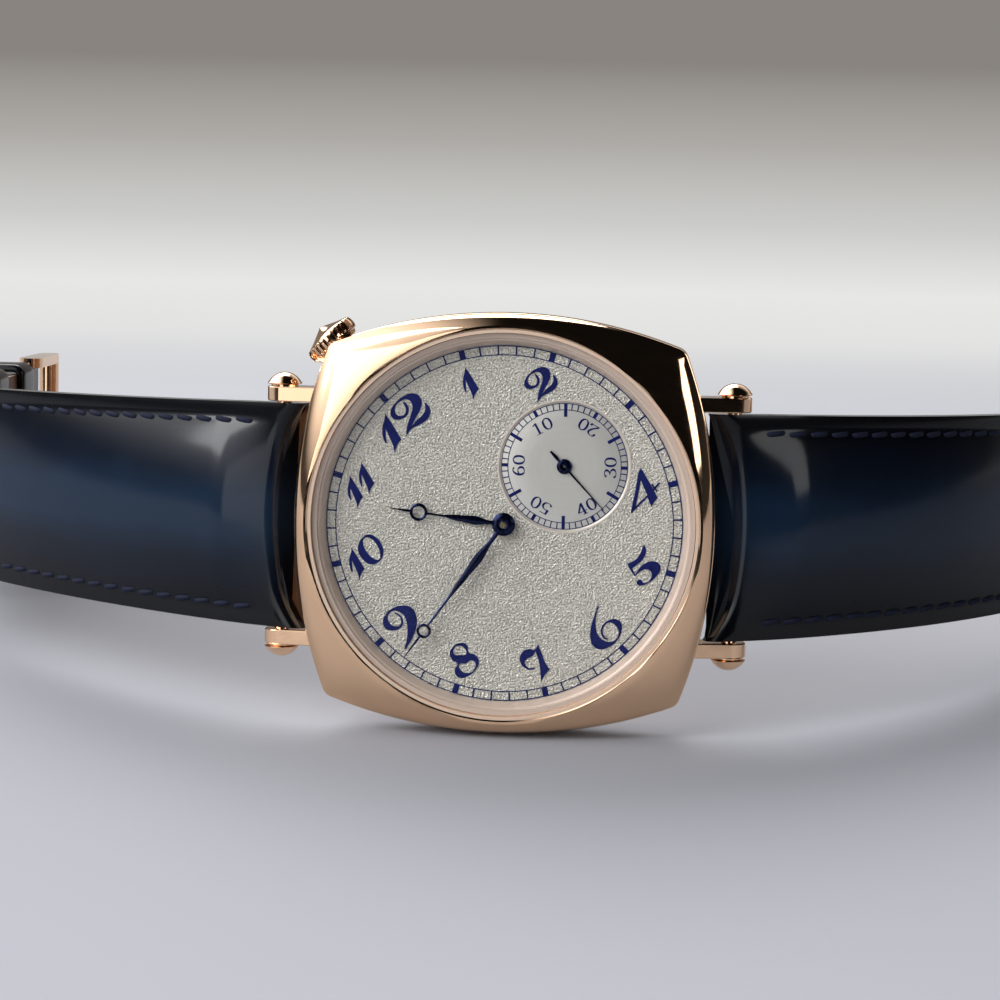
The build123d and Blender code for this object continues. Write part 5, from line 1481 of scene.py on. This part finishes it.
def lamp(name, place, width, height, power, target=(0.0, 0.0, 0.02)):
    """A soft rectangular lamp aimed at a point."""
    data = bpy.data.lights.new(name, "AREA")
    data.shape = "RECTANGLE"
    data.size = width
    data.size_y = height
    data.energy = power
    made = add(name, data)
    made.location = place
    made.rotation_euler = (Vector(target) - Vector(place)).to_track_quat("-Z", "Y").to_euler()


def world():
    """A room lit from the left and from behind, with little light from the right."""
    made = bpy.data.worlds.new("studio_light")
    made.use_nodes = True
    sky = Tree(made.node_tree)
    way = sky.parts(sky.node("TexCoord").outputs["Generated"])

    def eased(axis, start, end, low, high):
        return sky.span(way[axis], low, high, start, end, "SMOOTHSTEP")

    left = sky.math("MULTIPLY", eased("X", -0.1, -0.6, 0.0, 3.0), eased("Z", 0.08, 0.4, 0.02, 1.0))
    right = sky.math("MULTIPLY", eased("X", 0.6, 0.95, 0.0, 0.03), eased("Z", 0.45, 0.0, 0.0, 1.0))
    light = sky.math("ADD", sky.math("ADD", left, right), eased("Y", 0.3, 0.95, 0.006, 1.3))
    seen = sky.node("LightPath").outputs["Is Camera Ray"]
    pale = sky.node("Mix", Factor=seen, A=light, B=0.62).outputs["Result"]
    background = sky.tree.nodes["Background"].inputs
    sky.feed(background["Strength"], pale)
    sky.feed(background["Color"], (0.93, 0.95, 1.0, 1.0))
    bpy.context.scene.world = made


# The camera that took the photograph, found from points on the watch: its distance from the
# dial and its turns about the bench axes, and how far its axis passes the dial's middle.
CAMERA_DISTANCE = 300.0
CAMERA_TILT = 5.94
CAMERA_PAN = -4.57
CAMERA_ROLL = -1.65
CAMERA_ASIDE = 0.361
CAMERA_ABOVE = -2.277
CAMERA_LENS = 113.98
CAMERA_SENSOR = 36.0


def camera():
    turn = (
        Matrix.Rotation(radians(CAMERA_ROLL), 3, "Z")
        @ Matrix.Rotation(radians(CAMERA_PAN), 3, "Y")
        @ Matrix.Rotation(radians(CAMERA_TILT), 3, "X")
    )
    back = turn.transposed()
    stand = back @ Vector((-CAMERA_ASIDE, -CAMERA_ABOVE, CAMERA_DISTANCE))
    to_row = Matrix((ALONG, UP, OUT)).transposed()
    data = bpy.data.cameras.new("camera")
    data.lens = CAMERA_LENS
    data.sensor_width = CAMERA_SENSOR
    data.clip_start = 0.01
    data.clip_end = 20.0
    made = add("camera", data)
    made.matrix_world = Matrix.Translation(bench(*stand)) @ (to_row @ back).to_4x4()
    bpy.context.scene.camera = made


studio()
world()
lamp("key", (-0.48, -0.50, 0.66), 0.40, 0.40, 2.8)
lamp("card", (-0.62, -0.37, 0.36), 0.26, 0.26, 1.9)
lamp("window", (-0.376, -0.84, 0.23), 0.42, 0.50, 1.05)
lamp("fill", (0.61, -0.60, 0.35), 0.34, 0.34, 1.0)
lamp("rear", (-0.15, 0.50, 0.62), 0.5, 0.5, 5.0, (0.0, 0.05, 0.0))
camera()
bpy.context.scene.view_settings.view_transform = "Standard"
